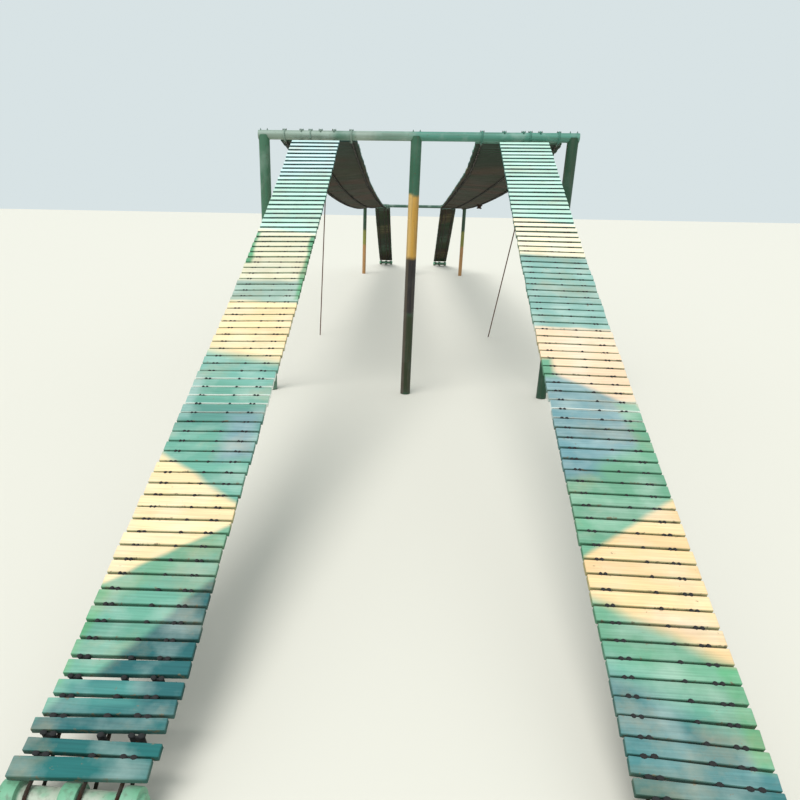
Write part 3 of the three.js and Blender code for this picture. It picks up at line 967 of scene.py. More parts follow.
# The stay holds the ropes down at one place, so they hang in a short bay and a long one
def spanRoute(lane):
    onBeam, turn = ropes["onBeam"], ropes["wrapTurn"]
    near, far = (nearBeam.y, nearBeam.z), (farBeam.y, farBeam.z)
    held = (nearBeam.y + lane["stay"]["fromNearFrame"], lane["stay"]["deckHeight"])
    first = sagSlopes((near[0], near[1] - onBeam), held, lane["shortBaySag"])[0]
    last = sagSlopes(held, (far[0], far[1] - onBeam), lane["longBaySag"])[1]
    start = touchPoint(near, onBeam, first, -1)
    end = touchPoint(far, onBeam, last, -1)
    shortBay = sagRoute(start, held, lane["shortBaySag"], ropes["shortBaySteps"])
    longBay = sagRoute(held, end, lane["longBaySag"], ropes["longBaySteps"])
    head = wrapRoute(near, onBeam, first - turn, first, -1)
    tail = wrapRoute(far, onBeam, last, last + turn, -1)
    hanging = shortBay + longBay[1:]
    return {"held": held, "hanging": hanging, "whole": head + hanging + tail}


# Geometry Nodes trees


def newTree(name, sockets):
    tree = bpy.data.node_groups.new(name, "GeometryNodeTree")
    tree.interface.new_socket("Geometry", in_out="INPUT", socket_type="NodeSocketGeometry")
    for label, kind in sockets.items():
        tree.interface.new_socket(label, in_out="INPUT", socket_type="NodeSocket" + kind)
    tree.interface.new_socket("Geometry", in_out="OUTPUT", socket_type="NodeSocketGeometry")
    return tree, addNode(tree, "NodeGroupInput").outputs


def bakeTree(name, guide, tree, values):
    piece = newObject(name, guide)
    modifier = piece.modifiers.new("build", "NODES")
    modifier.node_group = tree
    for item in tree.interface.items_tree:
        if item.item_type == "SOCKET" and item.in_out == "INPUT" and item.name in values:
            modifier[item.identifier] = values[item.name]
    graph = bpy.context.evaluated_depsgraph_get()
    baked = bpy.data.meshes.new_from_object(piece.evaluated_get(graph), preserve_all_data_layers=True,
                                            depsgraph=graph)
    piece.modifiers.clear()
    piece.data = baked
    baked.name = name
    return piece


# Sets one item at every point of a guide, square to its line. The points carry the vector
# across, and may carry a slip sideways, a turn and how much slimmer than the item the board is.
def makeRowTree():
    tree, given = newTree("rowAlongGuide", {
        "Item": "Object",
        "Item length": "Float",
        "Play": "Vector",
        "Skew": "Float",
        "Roll": "Float",
        "Wobble": "Float",
        "Seed": "Int",
        "Finish": "Material",
    })
    line = addNode(tree, "GeometryNodeMeshToCurve", {"Mesh": given["Geometry"]})
    across = addNode(tree, "GeometryNodeInputNamedAttribute", {"Name": "across"}, data_type="FLOAT_VECTOR")
    tangent = addNode(tree, "GeometryNodeInputTangent")
    square = addNode(tree, "FunctionNodeAxesToRotation", {
        "Primary Axis": across.outputs["Attribute"],
        "Secondary Axis": tangent.outputs[0],
    }, primary_axis="X", secondary_axis="Y")
    reach = addNode(tree, "ShaderNodeVectorMath", {0: across.outputs["Attribute"]}, operation="LENGTH")
    stretch = addNode(tree, "ShaderNodeMath", {0: reach.outputs["Value"], 1: given["Item length"]},
                      operation="DIVIDE")
    slim = addNode(tree, "GeometryNodeInputNamedAttribute", {"Name": "slim"}, data_type="FLOAT")
    width = addNode(tree, "ShaderNodeMath", {0: 1.0, 1: slim.outputs["Attribute"]}, operation="SUBTRACT")
    scale = addNode(tree, "ShaderNodeCombineXYZ", {"X": stretch.outputs[0], "Y": width.outputs[0], "Z": 1.0})
    item = addNode(tree, "GeometryNodeObjectInfo", {"Object": given["Item"], "As Instance": True})
    placed = addNode(tree, "GeometryNodeInstanceOnPoints", {
        "Points": line.outputs[0],
        "Instance": item.outputs["Geometry"],
        "Rotation": square.outputs[0],
        "Scale": scale.outputs[0],
    })
    shake = addNode(tree, "FunctionNodeRandomValue", {0: (-1, -1, -1), 1: (1, 1, 1), "Seed": given["Seed"]},
                    data_type="FLOAT_VECTOR")
    nudge = addNode(tree, "GeometryNodeInputNamedAttribute", {"Name": "nudge"}, data_type="FLOAT_VECTOR")
    slip = addNode(tree, "ShaderNodeVectorMath", {
        0: shake.outputs[0],
        1: given["Play"],
        2: nudge.outputs["Attribute"],
    }, operation="MULTIPLY_ADD")
    slid = addNode(tree, "GeometryNodeTranslateInstances", {"Instances": placed.outputs[0],
                                                            "Translation": slip.outputs[0]})
    # another seed, so that slips and turns differ
    secondSeed = addNode(tree, "ShaderNodeMath", {0: given["Seed"], 1: 7.0}, operation="ADD")
    spin = addNode(tree, "FunctionNodeRandomValue", {
        0: (-1, -1, -1),
        1: (1, 1, 1),
        "Seed": secondSeed.outputs[0],
    }, data_type="FLOAT_VECTOR")
    amounts = addNode(tree, "ShaderNodeCombineXYZ", {"X": given["Roll"], "Z": given["Skew"]})
    askew = addNode(tree, "GeometryNodeInputNamedAttribute", {"Name": "turn"}, data_type="FLOAT")
    turn = addNode(tree, "ShaderNodeCombineXYZ", {"Z": askew.outputs["Attribute"]})
    angles = addNode(tree, "ShaderNodeVectorMath", {
        0: spin.outputs[0],
        1: amounts.outputs[0],
        2: turn.outputs[0],
    }, operation="MULTIPLY_ADD")
    rotation = addNode(tree, "FunctionNodeEulerToRotation", {0: angles.outputs[0]})
    turned = addNode(tree, "GeometryNodeRotateInstances", {"Instances": slid.outputs[0],
                                                           "Rotation": rotation.outputs[0]})
    tone = addNode(tree, "FunctionNodeRandomValue", {2: 0.0, 3: 1.0, "Seed": given["Seed"]},
                   data_type="FLOAT")
    toned = addNode(tree, "GeometryNodeStoreNamedAttribute", {
        "Geometry": turned.outputs[0],
        "Name": "tone",
        "Value": tone.outputs[1],
    }, data_type="FLOAT", domain="INSTANCE")
    real = addNode(tree, "GeometryNodeRealizeInstances", {"Geometry": toned.outputs[0]})
    # each item has its own stretch of the noise, so that no two are warped alike
    ownTone = addNode(tree, "GeometryNodeInputNamedAttribute", {"Name": "tone"}, data_type="FLOAT")
    own = addNode(tree, "ShaderNodeMath", {0: ownTone.outputs["Attribute"], 1: 90.0}, operation="MULTIPLY")
    warp = addNode(tree, "ShaderNodeTexNoise", {"W": own.outputs[0], "Scale": 5.0, "Detail": 1.0},
                   noise_dimensions="4D")
    centred = addNode(tree, "ShaderNodeVectorMath", {0: warp.outputs["Color"], 1: (0.5, 0.5, 0.5)},
                      operation="SUBTRACT")
    amount = addNode(tree, "ShaderNodeVectorMath", {0: centred.outputs[0], "Scale": given["Wobble"]},
                     operation="SCALE")
    warped = addNode(tree, "GeometryNodeSetPosition", {"Geometry": real.outputs[0],
                                                       "Offset": amount.outputs[0]})
    painted = addNode(tree, "GeometryNodeSetMaterial", {"Geometry": warped.outputs[0],
                                                        "Material": given["Finish"]})
    addNode(tree, "NodeGroupOutput", {"Geometry": painted.outputs[0]})
    return tree


# Bar or laid rope along each line of a guide. Each strand winds round the line at the helix
# radius, or is a plain round bar where that is 0.
def makeRopeTree():
    tree, given = newTree("ropeAlongGuide", {
        "Strands": "Int",
        "Strand radius": "Float",
        "Helix radius": "Float",
        "Lay length": "Float",
        "Step": "Float",
        "Sides": "Int",
        "Finish": "Material",
    })
    line = addNode(tree, "GeometryNodeMeshToCurve", {"Mesh": given["Geometry"]})
    fine = addNode(tree, "GeometryNodeResampleCurve", {"Curve": line.outputs[0], "Length": given["Step"]},
                   mode="LENGTH")
    length = addNode(tree, "GeometryNodeSplineParameter")
    marked = addNode(tree, "GeometryNodeStoreNamedAttribute", {
        "Geometry": fine.outputs[0],
        "Name": "alongRope",
        "Value": length.outputs["Length"],
    }, data_type="FLOAT", domain="POINT")
    copies = addNode(tree, "GeometryNodeDuplicateElements", {"Geometry": marked.outputs[0],
                                                             "Amount": given["Strands"]}, domain="SPLINE")
    number = addNode(tree, "ShaderNodeMath", {0: copies.outputs["Duplicate Index"], 1: given["Strands"]},
                     operation="DIVIDE")
    along = addNode(tree, "GeometryNodeInputNamedAttribute", {"Name": "alongRope"}, data_type="FLOAT")
    turns = addNode(tree, "ShaderNodeMath", {0: along.outputs["Attribute"], 1: given["Lay length"]},
                    operation="DIVIDE")
    both = addNode(tree, "ShaderNodeMath", {0: number.outputs[0], 1: turns.outputs[0]}, operation="ADD")
    phase = addNode(tree, "ShaderNodeMath", {0: both.outputs[0], 1: 2 * math.pi}, operation="MULTIPLY")
    cosine = addNode(tree, "ShaderNodeMath", {0: phase.outputs[0]}, operation="COSINE")
    sine = addNode(tree, "ShaderNodeMath", {0: phase.outputs[0]}, operation="SINE")
    normal = addNode(tree, "GeometryNodeInputNormal")
    tangent = addNode(tree, "GeometryNodeInputTangent")
    side = addNode(tree, "ShaderNodeVectorMath", {0: tangent.outputs[0], 1: normal.outputs[0]},
                   operation="CROSS_PRODUCT")
    first = addNode(tree, "ShaderNodeVectorMath", {0: normal.outputs[0], "Scale": cosine.outputs[0]},
                    operation="SCALE")
    second = addNode(tree, "ShaderNodeVectorMath", {0: side.outputs[0], "Scale": sine.outputs[0]},
                     operation="SCALE")
    outward = addNode(tree, "ShaderNodeVectorMath", {0: first.outputs[0], 1: second.outputs[0]},
                      operation="ADD")
    offset = addNode(tree, "ShaderNodeVectorMath", {0: outward.outputs[0], "Scale": given["Helix radius"]},
                     operation="SCALE")
    wound = addNode(tree, "GeometryNodeSetPosition", {"Geometry": copies.outputs[0],
                                                      "Offset": offset.outputs[0]})
    ring = addNode(tree, "GeometryNodeCurvePrimitiveCircle", {"Resolution": given["Sides"],
                                                              "Radius": given["Strand radius"]})
    spot = addNode(tree, "GeometryNodeInputPosition")
    marks = addNode(tree, "GeometryNodeStoreNamedAttribute", {
        "Geometry": ring.outputs[0],
        "Name": "aroundRope",
        "Value": spot.outputs[0],
    }, data_type="FLOAT_VECTOR", domain="POINT")
    solid = addNode(tree, "GeometryNodeCurveToMesh", {
        "Curve": wound.outputs[0],
        "Profile Curve": marks.outputs[0],
        "Fill Caps": True,
    })
    smooth = addNode(tree, "GeometryNodeSetShadeSmooth", {"Geometry": solid.outputs[0]})
    real = addNode(tree, "GeometryNodeRealizeInstances", {"Geometry": smooth.outputs[0]})
    painted = addNode(tree, "GeometryNodeSetMaterial", {"Geometry": real.outputs[0],
                                                        "Material": given["Finish"]})
    addNode(tree, "NodeGroupOutput", {"Geometry": painted.outputs[0]})
    return tree


rowTree = makeRowTree()
ropeTree = makeRopeTree()
print("node trees built")


# A guide is lines of points. Each point may carry vectors and numbers that the trees read.
def guideMesh(name, lines, vectors=None, numbers=None):
    points = [point for line in lines for point in line]
    edges, first = [], 0
    for line in lines:
        edges += [(first + i, first + i + 1) for i in range(len(line) - 1)]
        first += len(line)
    mesh = bpy.data.meshes.new(name)
    mesh.from_pydata([tuple(p) for p in points], edges, [])
    for label, values in (vectors or {}).items():
        layer = mesh.attributes.new(label, "FLOAT_VECTOR", "POINT")
        layer.data.foreach_set("vector", [c for v in values for c in v])
    for label, values in (numbers or {}).items():
        layer = mesh.attributes.new(label, "FLOAT", "POINT")
        layer.data.foreach_set("value", values)
    return mesh


# Plain round bars along lines
def addBars(name, lines, radius, step, sides, finish, nodes=()):
    piece = bakeTree(name, guideMesh(name, lines), ropeTree, {
        "Strands": 1,
        "Strand radius": radius,
        "Helix radius": 0.0,
        "Lay length": 1.0,
        "Step": step,
        "Sides": sides,
        "Finish": finish,
    })
    return finishPiece(piece, nodes)


# Items for the rows

boards = {
    "length": 0.500,
    "width": 0.0805,
    "thickness": 0.028,
    "arris": 0.003,
    "pitch": 0.0895,
    "clearOfShaft": 0.030,
    "clearOfBeam": 0.050,
}


# A block whose edges are rubbed round
def addBlock(shape, size, rounding, segments=1):
    bmesh.ops.create_cube(shape, size=1)
    bmesh.ops.scale(shape, vec=size, verts=shape.verts)
    bmesh.ops.bevel(shape, geom=shape.edges[:], offset=rounding, segments=segments, affect="EDGES")


# One board, with cuts along its length so that it can warp a little
def makeBoard():
    shape = bmesh.new()
    size = (boards["length"], boards["width"], boards["thickness"])
    addBlock(shape, size, boards["arris"])
    for share in (-0.25, 0.0, 0.25):
        bmesh.ops.bisect_plane(shape, geom=shape.verts[:] + shape.edges[:] + shape.faces[:],
                               plane_co=(share * boards["length"], 0, 0), plane_no=(1, 0, 0))
    layer = shape.verts.layers.float_vector.new("onBoard")
    for vert in shape.verts:
        vert[layer] = [2 * vert.co[i] / size[i] for i in range(3)]
    return newObject("board", meshFromShape("board", shape))


# Turns of tarred line round a rope in the gap between two boards, and its knots on top
lashing = {
    "turns": {"single": 0.022, "pair": 0.038},
    "knotsAt": {"single": (0.0,), "pair": (-0.0120, 0.0120)},
    "depth": 0.0085,
    "rounding": 0.0025,
    "below": 0.0105,
    "short": 0.005,
    "knot": (0.0094, 0.0118, 0.0060),
    "proud": 0.0038,
    "uneven": (0.85, 1.15),
    "widths": [(0, 1.6), (10, 1.0)],  # wider near the foot, by the number of the gap
}


def makeLashing(kind):
    top = lashing["below"] + ropeSeat + boards["thickness"]
    height = top - lashing["short"]
    shape = bmesh.new()
    addBlock(shape, (lashing["turns"][kind], lashing["depth"], height), lashing["rounding"])
    bmesh.ops.translate(shape, vec=(0, 0, height / 2), verts=shape.verts)
    for x in lashing["knotsAt"][kind]:
        spot = Matrix.Translation((x, 0, top + lashing["proud"] - lashing["knot"][2]))
        ball = spot @ Matrix.Diagonal((*lashing["knot"], 1))
        bmesh.ops.create_uvsphere(shape, u_segments=8, v_segments=5, radius=1, matrix=ball)
    return newObject(kind + "Lashing", meshFromShape(kind + "Lashing", shape, smooth=True))


# Stud with a nut on a washer, as on a U-bolt's leg. The washer is sunk a little into the tube.
nut = {
    "washer": (0.0075, 0.0015),
    "sunk": 0.0005,
    "across": 0.0068,
    "height": 0.0062,
    "stud": 0.0040,
    "top": 0.0162,
    "arris": 0.0007,
}


def makeNut():
    shape = bmesh.new()
    radius, plate = nut["washer"]
    parts = [(radius, -nut["sunk"], plate, 16), (nut["across"], plate, plate + nut["height"], 6),
             (nut["stud"], plate, nut["top"], 10)]
    for size, low, high, sides in parts:
        made = bmesh.ops.create_cone(shape, cap_ends=True, segments=sides, radius1=size, radius2=size,
                                     depth=high - low, matrix=Matrix.Translation((0, 0, (low + high) / 2)))
        edges = {edge for vert in made["verts"] for edge in vert.link_edges}
        rim = [edge for edge in edges if all(abs(vert.co.z - high) < 1e-6 for vert in edge.verts)]
        bmesh.ops.bevel(shape, geom=rim, offset=nut["arris"], segments=1, affect="EDGES")
    return newObject("nut", meshFromShape("nut", shape))


# Pressed sleeve that holds a rope's tail against it
sleeve = {"size": (0.020, 0.034, 0.034), "rounding": 0.006, "place": (0.34, 0.42)}


def makeSleeve():
    shape = bmesh.new()
    addBlock(shape, sleeve["size"], sleeve["rounding"], segments=3)
    bmesh.ops.translate(shape, vec=(0, 0, ropes["radius"] - sleeve["size"][2] / 2), verts=shape.verts)
    return newObject("sleeve", meshFromShape("sleeve", shape, smooth=True))


boardItem = makeBoard()
lashingItems = {kind: makeLashing(kind) for kind in lashing["turns"]}
nutItem = makeNut()
sleeveItem = makeSleeve()
items = [boardItem, nutItem, sleeveItem, *lashingItems.values()]
tar = tarredHemp("tarredHemp")
zinc = dulledZinc("dulledZinc")

# How loosely things lie in their rows: slips along, across and up, turns flat and about their length,
# and how much they are warped
looseness = {
    "boards": {
        "Play": (0.003, 0.0012, 0.0007),
        "Skew": math.radians(0.3),
        "Roll": math.radians(0.9),
        "Wobble": 0.0025,
    },
    "ropework": {
        "Play": (0.004, 0.001, 0.0012),
        "Skew": math.radians(5),
        "Roll": math.radians(3),
        "Wobble": 0.0,
    },
    "bolted": {"Play": (0.0, 0.0, 0.0), "Skew": 0.0, "Roll": 0.0, "Wobble": 0.0},
}


def addItems(name, item, lines, across, finish, seed, loose="ropework", widths=None):
    widths = widths or [1.0] * len(lines[0])
    guide = guideMesh(name, lines, {"across": [across * width for line in lines for width in widths]})
    piece = bakeTree(name, guide, rowTree, {
        "Item": item,
        "Item length": 1.0,
        "Seed": seed,
        "Finish": finish,
        **looseness[loose],
    })
    return finishPiece(piece)


# A row of boards over ropes, laid and worn as a lane's lists say. Gives back the line that lashings
# follow, and how far along it each gap is, with the slope of the boards' turn there.
def addBoards(name, route, fromU, toU, edges, wear, finish, nodes, seed):
    width = boards["width"]
    lift = ropeSeat + boards["thickness"] / 2
    middle = trimRoute(offsetRoute(route, lift), fromU, toU)
    total = sum(math.dist(a, b) for a, b in zip(middle, middle[1:]))
    steps = round((total - width) / boards["pitch"])
    pitch = (total - width) / steps
    count = steps + 1 + wear["extraBoards"]
    shares = [k / (count - 1) for k in range(count)]
    slims = [between(wear["slims"], k) for k in range(count)]
    widths = [width * (1 - slim) for slim in slims]
    spots = [width / 2 + k * pitch + between(wear["slips"], k) for k in range(count)]
    turns = [math.radians(between(wear["turns"], share) + between(wear["twists"], k))
             for k, share in enumerate(shares)]
    ends = [edges(u, v) for u, v in pointsAt(middle, spots)]
    guide = guideMesh(name, [[(a + b) / 2 for a, b in ends]], {
        "across": [b - a for a, b in ends],
        "nudge": [(between(wear["shifts"], k), 0, 0) for k in range(count)],
    }, {
        "turn": turns,
        "slim": slims,
        # painted shade and real wear on each board's sides
        "sideShadeAndWear": [between(wear["sideShadesAndWear"], share) for share in shares],
    })
    piece = bakeTree(name, guide, rowTree, {
        "Item": boardItem,
        "Item length": boards["length"],
        "Seed": seed,
        "Finish": finish,
        **looseness["boards"],
    })
    finishPiece(piece, nodes)
    gaps = []
    for k in range(count - 1):
        rear = spots[k] + widths[k] / 2
        front = spots[k + 1] - widths[k + 1] / 2
        gaps.append(((rear + front) / 2, math.tan((turns[k] + turns[k + 1]) / 2)))
    return offsetRoute(middle, -lift - lashing["below"]), gaps


layLength = ropes["radius"] * ropes["layPerRadius"]
strandFinish = weatheredWireRope("weatheredStrandWire", 4, 0.02, ropeLook["weathered"])
ropeFinish = weatheredWireRope("weatheredWireRope", ropes["strands"], layLength, ropeLook["weathered"])
# the span ropes carry painted shade of the decks above them
spanFinish = weatheredWireRope("shadedOversprayedWireRope", ropes["strands"], layLength, ropeLook["oversprayedAndShaded"])


# Ropes that are seen close to are laid of strands, the others are bars with grooves in their look
def addRopes(name, lines, finish, nodes, stranded=False):
    radius = ropes["radius"]
    if not stranded:
        return addBars(name, lines, radius, 0.025, 10, finish, nodes)
    piece = bakeTree(name, guideMesh(name, lines), ropeTree, {
        "Strands": ropes["strands"],
        "Strand radius": radius * ropes["strandRadius"],
        "Helix radius": radius * ropes["strandsOut"],
        "Lay length": layLength,
        "Step": 0.014,
        "Sides": 5,
        "Finish": finish,
    })
    return finishPiece(piece, nodes)


# Near and far ramps. The lowest boards of the near ramps have slipped down the slope and were cut to
# different widths, and the boards are laid a little askew. Slims, slips, shifts and twists go by the
# number of the board, turns and the sides' painted shade and wear by the share of the way up.

laid = {
    "left": {
        "turns": [(0.0, 1.8), (0.16, 1.7), (0.31, 3.0), (0.50, 3.3), (0.62, 2.7), (0.78, 1.7), (0.95, 0.8),
                  (1.0, 0.2)],
        "sideShadesAndWear": [(0.0, 0.45), (0.32, 0.5), (0.345, 1.0), (0.385, 1.0), (0.40, 0.55), (0.60, 0.5),
                      (0.72, 0.1), (1.0, 0.0)],
        "slips": [(0, -0.0126), (1, -0.022), (2, -0.0176), (3, -0.031), (4, -0.0366), (5, -0.0296),
                  (25, 0.0)],
        "slims": [(0, 0.0), (1, 0.31), (2, 0.33), (3, 0.14), (4, 0.18), (5, 0.14), (6, 0.04), (20, 0.0),
                  (45, 0.06), (55, 0.24), (75, 0.36)],
        "shifts": [(0, -0.009), (1, 0.008), (2, 0.001), (3, 0.011), (4, 0.018), (5, 0.021), (12, 0.0)],
        "twists": [(0, 0.9), (1, -1.0), (2, 2.0), (3, 1.0), (4, 0.6), (5, 1.2), (6, 0.0)],
        "extraBoards": 0,
    },
    "right": {
        "turns": [(0.0, -0.7), (0.23, -0.7), (0.54, -1.6), (0.65, -1.4), (0.73, 0.0), (0.86, 1.2),
                  (1.0, 0.5)],
        "sideShadesAndWear": [(0.0, 0.45), (0.335, 0.5), (0.35, 1.0), (0.36, 1.0), (0.375, 0.5), (0.475, 0.5),
                      (0.48, 1.0), (0.49, 0.5), (0.62, 0.4), (0.72, 0.05), (1.0, 0.0)],
        "slips": [(0, -0.015), (1, -0.040), (2, -0.057), (3, -0.0705), (4, -0.079), (5, -0.083), (6, -0.086),
                  (8, -0.0899)],
        "slims": [(0, 0.38), (1, 0.23), (2, 0.18), (3, 0.155), (4, 0.03), (5, 0.06), (6, 0.02), (45, 0.06),
                  (55, 0.22), (75, 0.30)],
        "shifts": [(0, 0.0)],
        "twists": [(0, -0.3), (1, -1.5), (2, -3.1), (3, -2.4), (4, -2.0), (5, -1.0), (6, -0.2), (7, 0.0)],
        "extraBoards": 1,
    },
    "plain": {
        "turns": [(0, 0)],
        "sideShadesAndWear": [(0, 0.3)],
        "slips": [(0, 0)],
        "slims": [(0, 0.02)],
        "shifts": [(0, 0)],
        "twists": [(0, 0)],
        "extraBoards": 0,
    },
}
bandedBoards = paintedBoards("bandedPaintedBoards")
seeds = {"near": 11, "far": 21, "deck": 31, "nuts": 5}  # the right lane's are one more


# Widths of a row of lashings
def unevenWidths(count, seed, widths):
    chance = random.Random(seed)
    return [between(widths, k) * chance.uniform(*lashing["uneven"]) for k in range(count)]


def addRamp(label, side, footY, run, beamHeight, seed):
    lane = lanes[side]
    ramp = lane["ramps"][label]
    sign = lane["sign"]
    ahead = 1 if label == "near" else -1
    across = Vector((ahead, 0, 0))  # points so that up stays up on either ramp
    route = rampRoute(run, beamHeight, ramp["sag"])

    def place(ends, u, v):
        return Vector((sign * lerp(*ends, u / run), footY + ahead * u, v))

    def edges(u, v):
        middle = place(ramp["boards"], u, v)
        half = across * (boards["length"] / 2)
        return middle - half, middle + half

    wear, finish = laid["plain"], bandedBoards
    if label == "near":
        patches = patchesOf(camouflage[side], boards["length"] / 2)
        origin = (sign * sum(ramp["boards"]) / 2, footY)
        wear, finish = laid[side], paintedBoards(f"camouflagedBoards_{side}", patches, origin)
    under, gaps = addBoards(f"{label}RampBoards_{side}", route["hanging"], boards["clearOfShaft"],
                            run - boards["clearOfBeam"], edges, wear, finish, [f"{label}_ramp_{side}"], seed)

    # the gap between two turned boards runs aslant, so each rope crosses it at its own place
    def lashed(ends):
        aside = ahead * sign * (sum(ends) - sum(ramp["boards"])) / 2
        return [place(ends, u, v) for u, v in pointsAt(under, [far + aside * slope for far, slope in gaps])]

    inner, centre, outer = ramp["ropes"]
    for kind, rows in (("pair", (inner, outer)), ("single", (centre,))):
        addItems(f"{label}Ramp{kind.capitalize()}Lashings_{side}", lashingItems[kind],
                 [lashed(ends) for ends in rows], across, tar, seed,
                 widths=unevenWidths(len(gaps), seed, lashing["widths"]))
    pressed = trimRoute(route["hanging"], *sleeve["place"])
    lines = [[place(ends, *pressed[0]), place(ends, *pressed[-1])] for ends in ramp["ropes"]]
    addItems(f"{label}Sleeves_{side}", sleeveItem, lines, across, zinc, seed)
    lines = [[place(ends, u, v) for u, v in route["whole"]] for ends in ramp["ropes"]]
    stranded = label == "near"
    addRopes(f"{label}RampRopes_{side}", lines, strandFinish if stranded else ropeFinish,
             [f"{label}_ramp_cable_{side}_{i}" for i in ropeNumbers], stranded)


for number, side in enumerate(lanes):
    nearFoot = middleOf(f"near_anchor_{side}")
    farFoot = middleOf(f"far_anchor_{side}")
    addRamp("near", side, nearFoot.y, nearBeam.y - nearFoot.y, nearBeam.z, seeds["near"] + number)
    addRamp("far", side, farFoot.y, farFoot.y - farBeam.y, farBeam.z, seeds["far"] + number)
print("ramps built")

# Suspended decks


def addDeck(side, seed):
    lane = lanes[side]
    span = spanRoute(lane)

    def edges(u, v):
        return sorted((bankedPoint(lane, line, u, v) for line in deckEdges), key=lambda end: end.x)

    def ropeLines(route):
        return [[bankedPoint(lane, line, u, v) for u, v in route] for line in ropeNumbers]

    nodes = [f"deck_{side}_{bay}" for bay in ("short_bay", "long_bay_near", "long_bay_far")]
    under, gaps = addBoards(f"deckBoards_{side}", span["hanging"], deckFrom, deckTo, edges, laid["plain"],
                            bandedBoards, nodes, seed)
    places = pointsAt(under, [far for far, slope in gaps])
    addItems(f"deckLashings_{side}", lashingItems["single"], ropeLines(places), Vector((1, 0, 0)), tar,
             seed, widths=unevenWidths(len(gaps), seed, lashing["widths"][-1:]))
    addRopes(f"spanRopes_{side}", ropeLines(span["whole"]), spanFinish,
             [f"span_cable_{side}_{i}" for i in ropeNumbers])


for number, side in enumerate(lanes):
    addDeck(side, seeds["deck"] + number)
print("decks built")

# Frames: tubes with fish-mouthed tops, open beam ends and weld beads

tube = {
    "sides": 64,
    "postRadius": 0.057,
    "wall": 0.004,
    "endDepth": 0.15,
    "footArris": 0.003,
    "endArris": 0.0015,
    "boreArris": 0.0012,
    "seam": 0.0003,  # between a post's saddle and the beam
    "skin": 0.0001,  # how far the beam stays inside the solid's
    "beadRadius": 0.003,
    "beadSteps": 24,
}


# Closed round shape from rings of (radius, along), first and last on the axis
def latheMesh(name, profile, sides, smoothAngle=35):
    verts, faces, rings = [], [], []
    for radius, along in profile:
        if radius == 0:
            rings.append([len(verts)])
            verts.append((0, 0, along))
        else:
            rings.append(list(range(len(verts), len(verts) + sides)))
            for i in range(sides):
                angle = 2 * math.pi * i / sides
                verts.append((radius * math.cos(angle), radius * math.sin(angle), along))
    for low, high in zip(rings, rings[1:]):
        for i in range(sides):
            j = (i + 1) % sides
            if len(low) == 1:
                faces.append((low[0], high[j], high[i]))
            elif len(high) == 1:
                faces.append((low[i], low[j], high[0]))
            else:
                faces.append((low[i], low[j], high[j], high[i]))
    return meshFromFaces(name, verts, faces, smoothAngle)


def addTurned(label, node, mesh, place, finish):
    mesh.transform(place)
    mesh.materials.append(finish)
    finishPiece(newObject(f"{label}_{node}", mesh), [node])


def lyingAt(place):
    return Matrix.Translation(place) @ Matrix.Rotation(math.pi / 2, 4, "Y")


def saddleHeight(y, beamHeight):
    return beamHeight - math.sqrt(max((beamRadius + tube["seam"]) ** 2 - y * y, 0))


def addPost(node, beam, finish):
    centre = middleOf(node)
    radius, arris = tube["postRadius"], tube["footArris"]
    profile = [(0, 0), (radius - arris, 0), (radius, arris)]
    profile += [(radius, beam.z * share) for share in (0.2, 0.4, 0.6, 0.8, 0.93)]
    profile += [(radius * share, beam.z) for share in (1, 0.8, 0.45, 0)]
    mesh = latheMesh(node, profile, tube["sides"])
    for vert in mesh.vertices:
        if vert.co.z > beam.z - 0.001:
            vert.co.z = saddleHeight(vert.co.y, beam.z)
    addTurned("tube", node, mesh, Matrix.Translation((centre.x, beam.y, 0)), finish)


def addBeam(node, finish):
    low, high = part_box(node)
    half = (high.x - low.x) / 2
    outer, inner = beamRadius - tube["skin"], beamRadius - tube["wall"]
    depth, arris, bore = half - tube["endDepth"], tube["endArris"], tube["boreArris"]
    side = [(0, depth), (inner, depth), (inner, half - arris), (inner + bore, half), (outer - arris, half),
            (outer, half - arris)]
    shaft = [(outer, half * share) for share in (0.6, 0.2, -0.2, -0.6)]
    profile = [(r, -z) for r, z in side] + list(reversed(shaft)) + list(reversed(side))
    mesh = latheMesh(node, profile, tube["sides"])
    addTurned("tube", node, mesh, lyingAt((low + high) / 2), finish)


# Where the outside of a post meets the beam
def beadLoop(centre, beam):
    radius, steps = tube["postRadius"], tube["beadSteps"]
    reach = math.asin(beamRadius / radius)
    loop = []
    for side in (1, -1):
        for i in range(steps + 1):
            angle = lerp(-reach, reach, i / steps)
            x, y = side * radius * math.cos(angle), side * radius * math.sin(angle)
            loop.append(Vector((centre.x + x, beam.y + y, saddleHeight(y, beam.z))))
    return loop + loop[:1]


# Paint bands: up a post, or along a beam from left to right
everywhere = 20
nearMiddlePaint = [
    ("ochre", (0, 1.83), (everywhere, 0.33), 0, 0.02),
    # lighter strip down the post's left flank: painted highlight
    ("ochreFlankHighlight", (-0.04, 1.75), (0.025, 0.42), 0, 0.02),
    ("purpleBlack", (0, 1.22), (everywhere, 0.30), 0, 0.03),
    ("blackOlive", (0, 0.46), (everywhere, 0.46), 0, 0.04),
    # lighter strip down the left flank below the ochre: painted highlight
    ("brownFlankHighlight", (-0.045, 0.75), (0.02, 0.75), 0, 0.01),
]
nearBeamPaint = [
    ("beamAsh", (0, -0.90), (everywhere, 0.80), 0, 0.05),
    ("beamGreen", (0, -0.75), (everywhere, 0.10), 0, 0.04),
    ("beamMist", (0, -0.22), (everywhere, 0.20), 0, 0.06),
]
farPostPaint = [
    ("olive", (0, 1.14), (everywhere, 0.26), 0, 0.04),
    ("tan", (0, 0.45), (everywhere, 0.48), 0, 0.04),
]
farPostFinish = enamelledSteel("enamelledFarPost", "farPostGreen", farPostPaint, chalk=0.05)
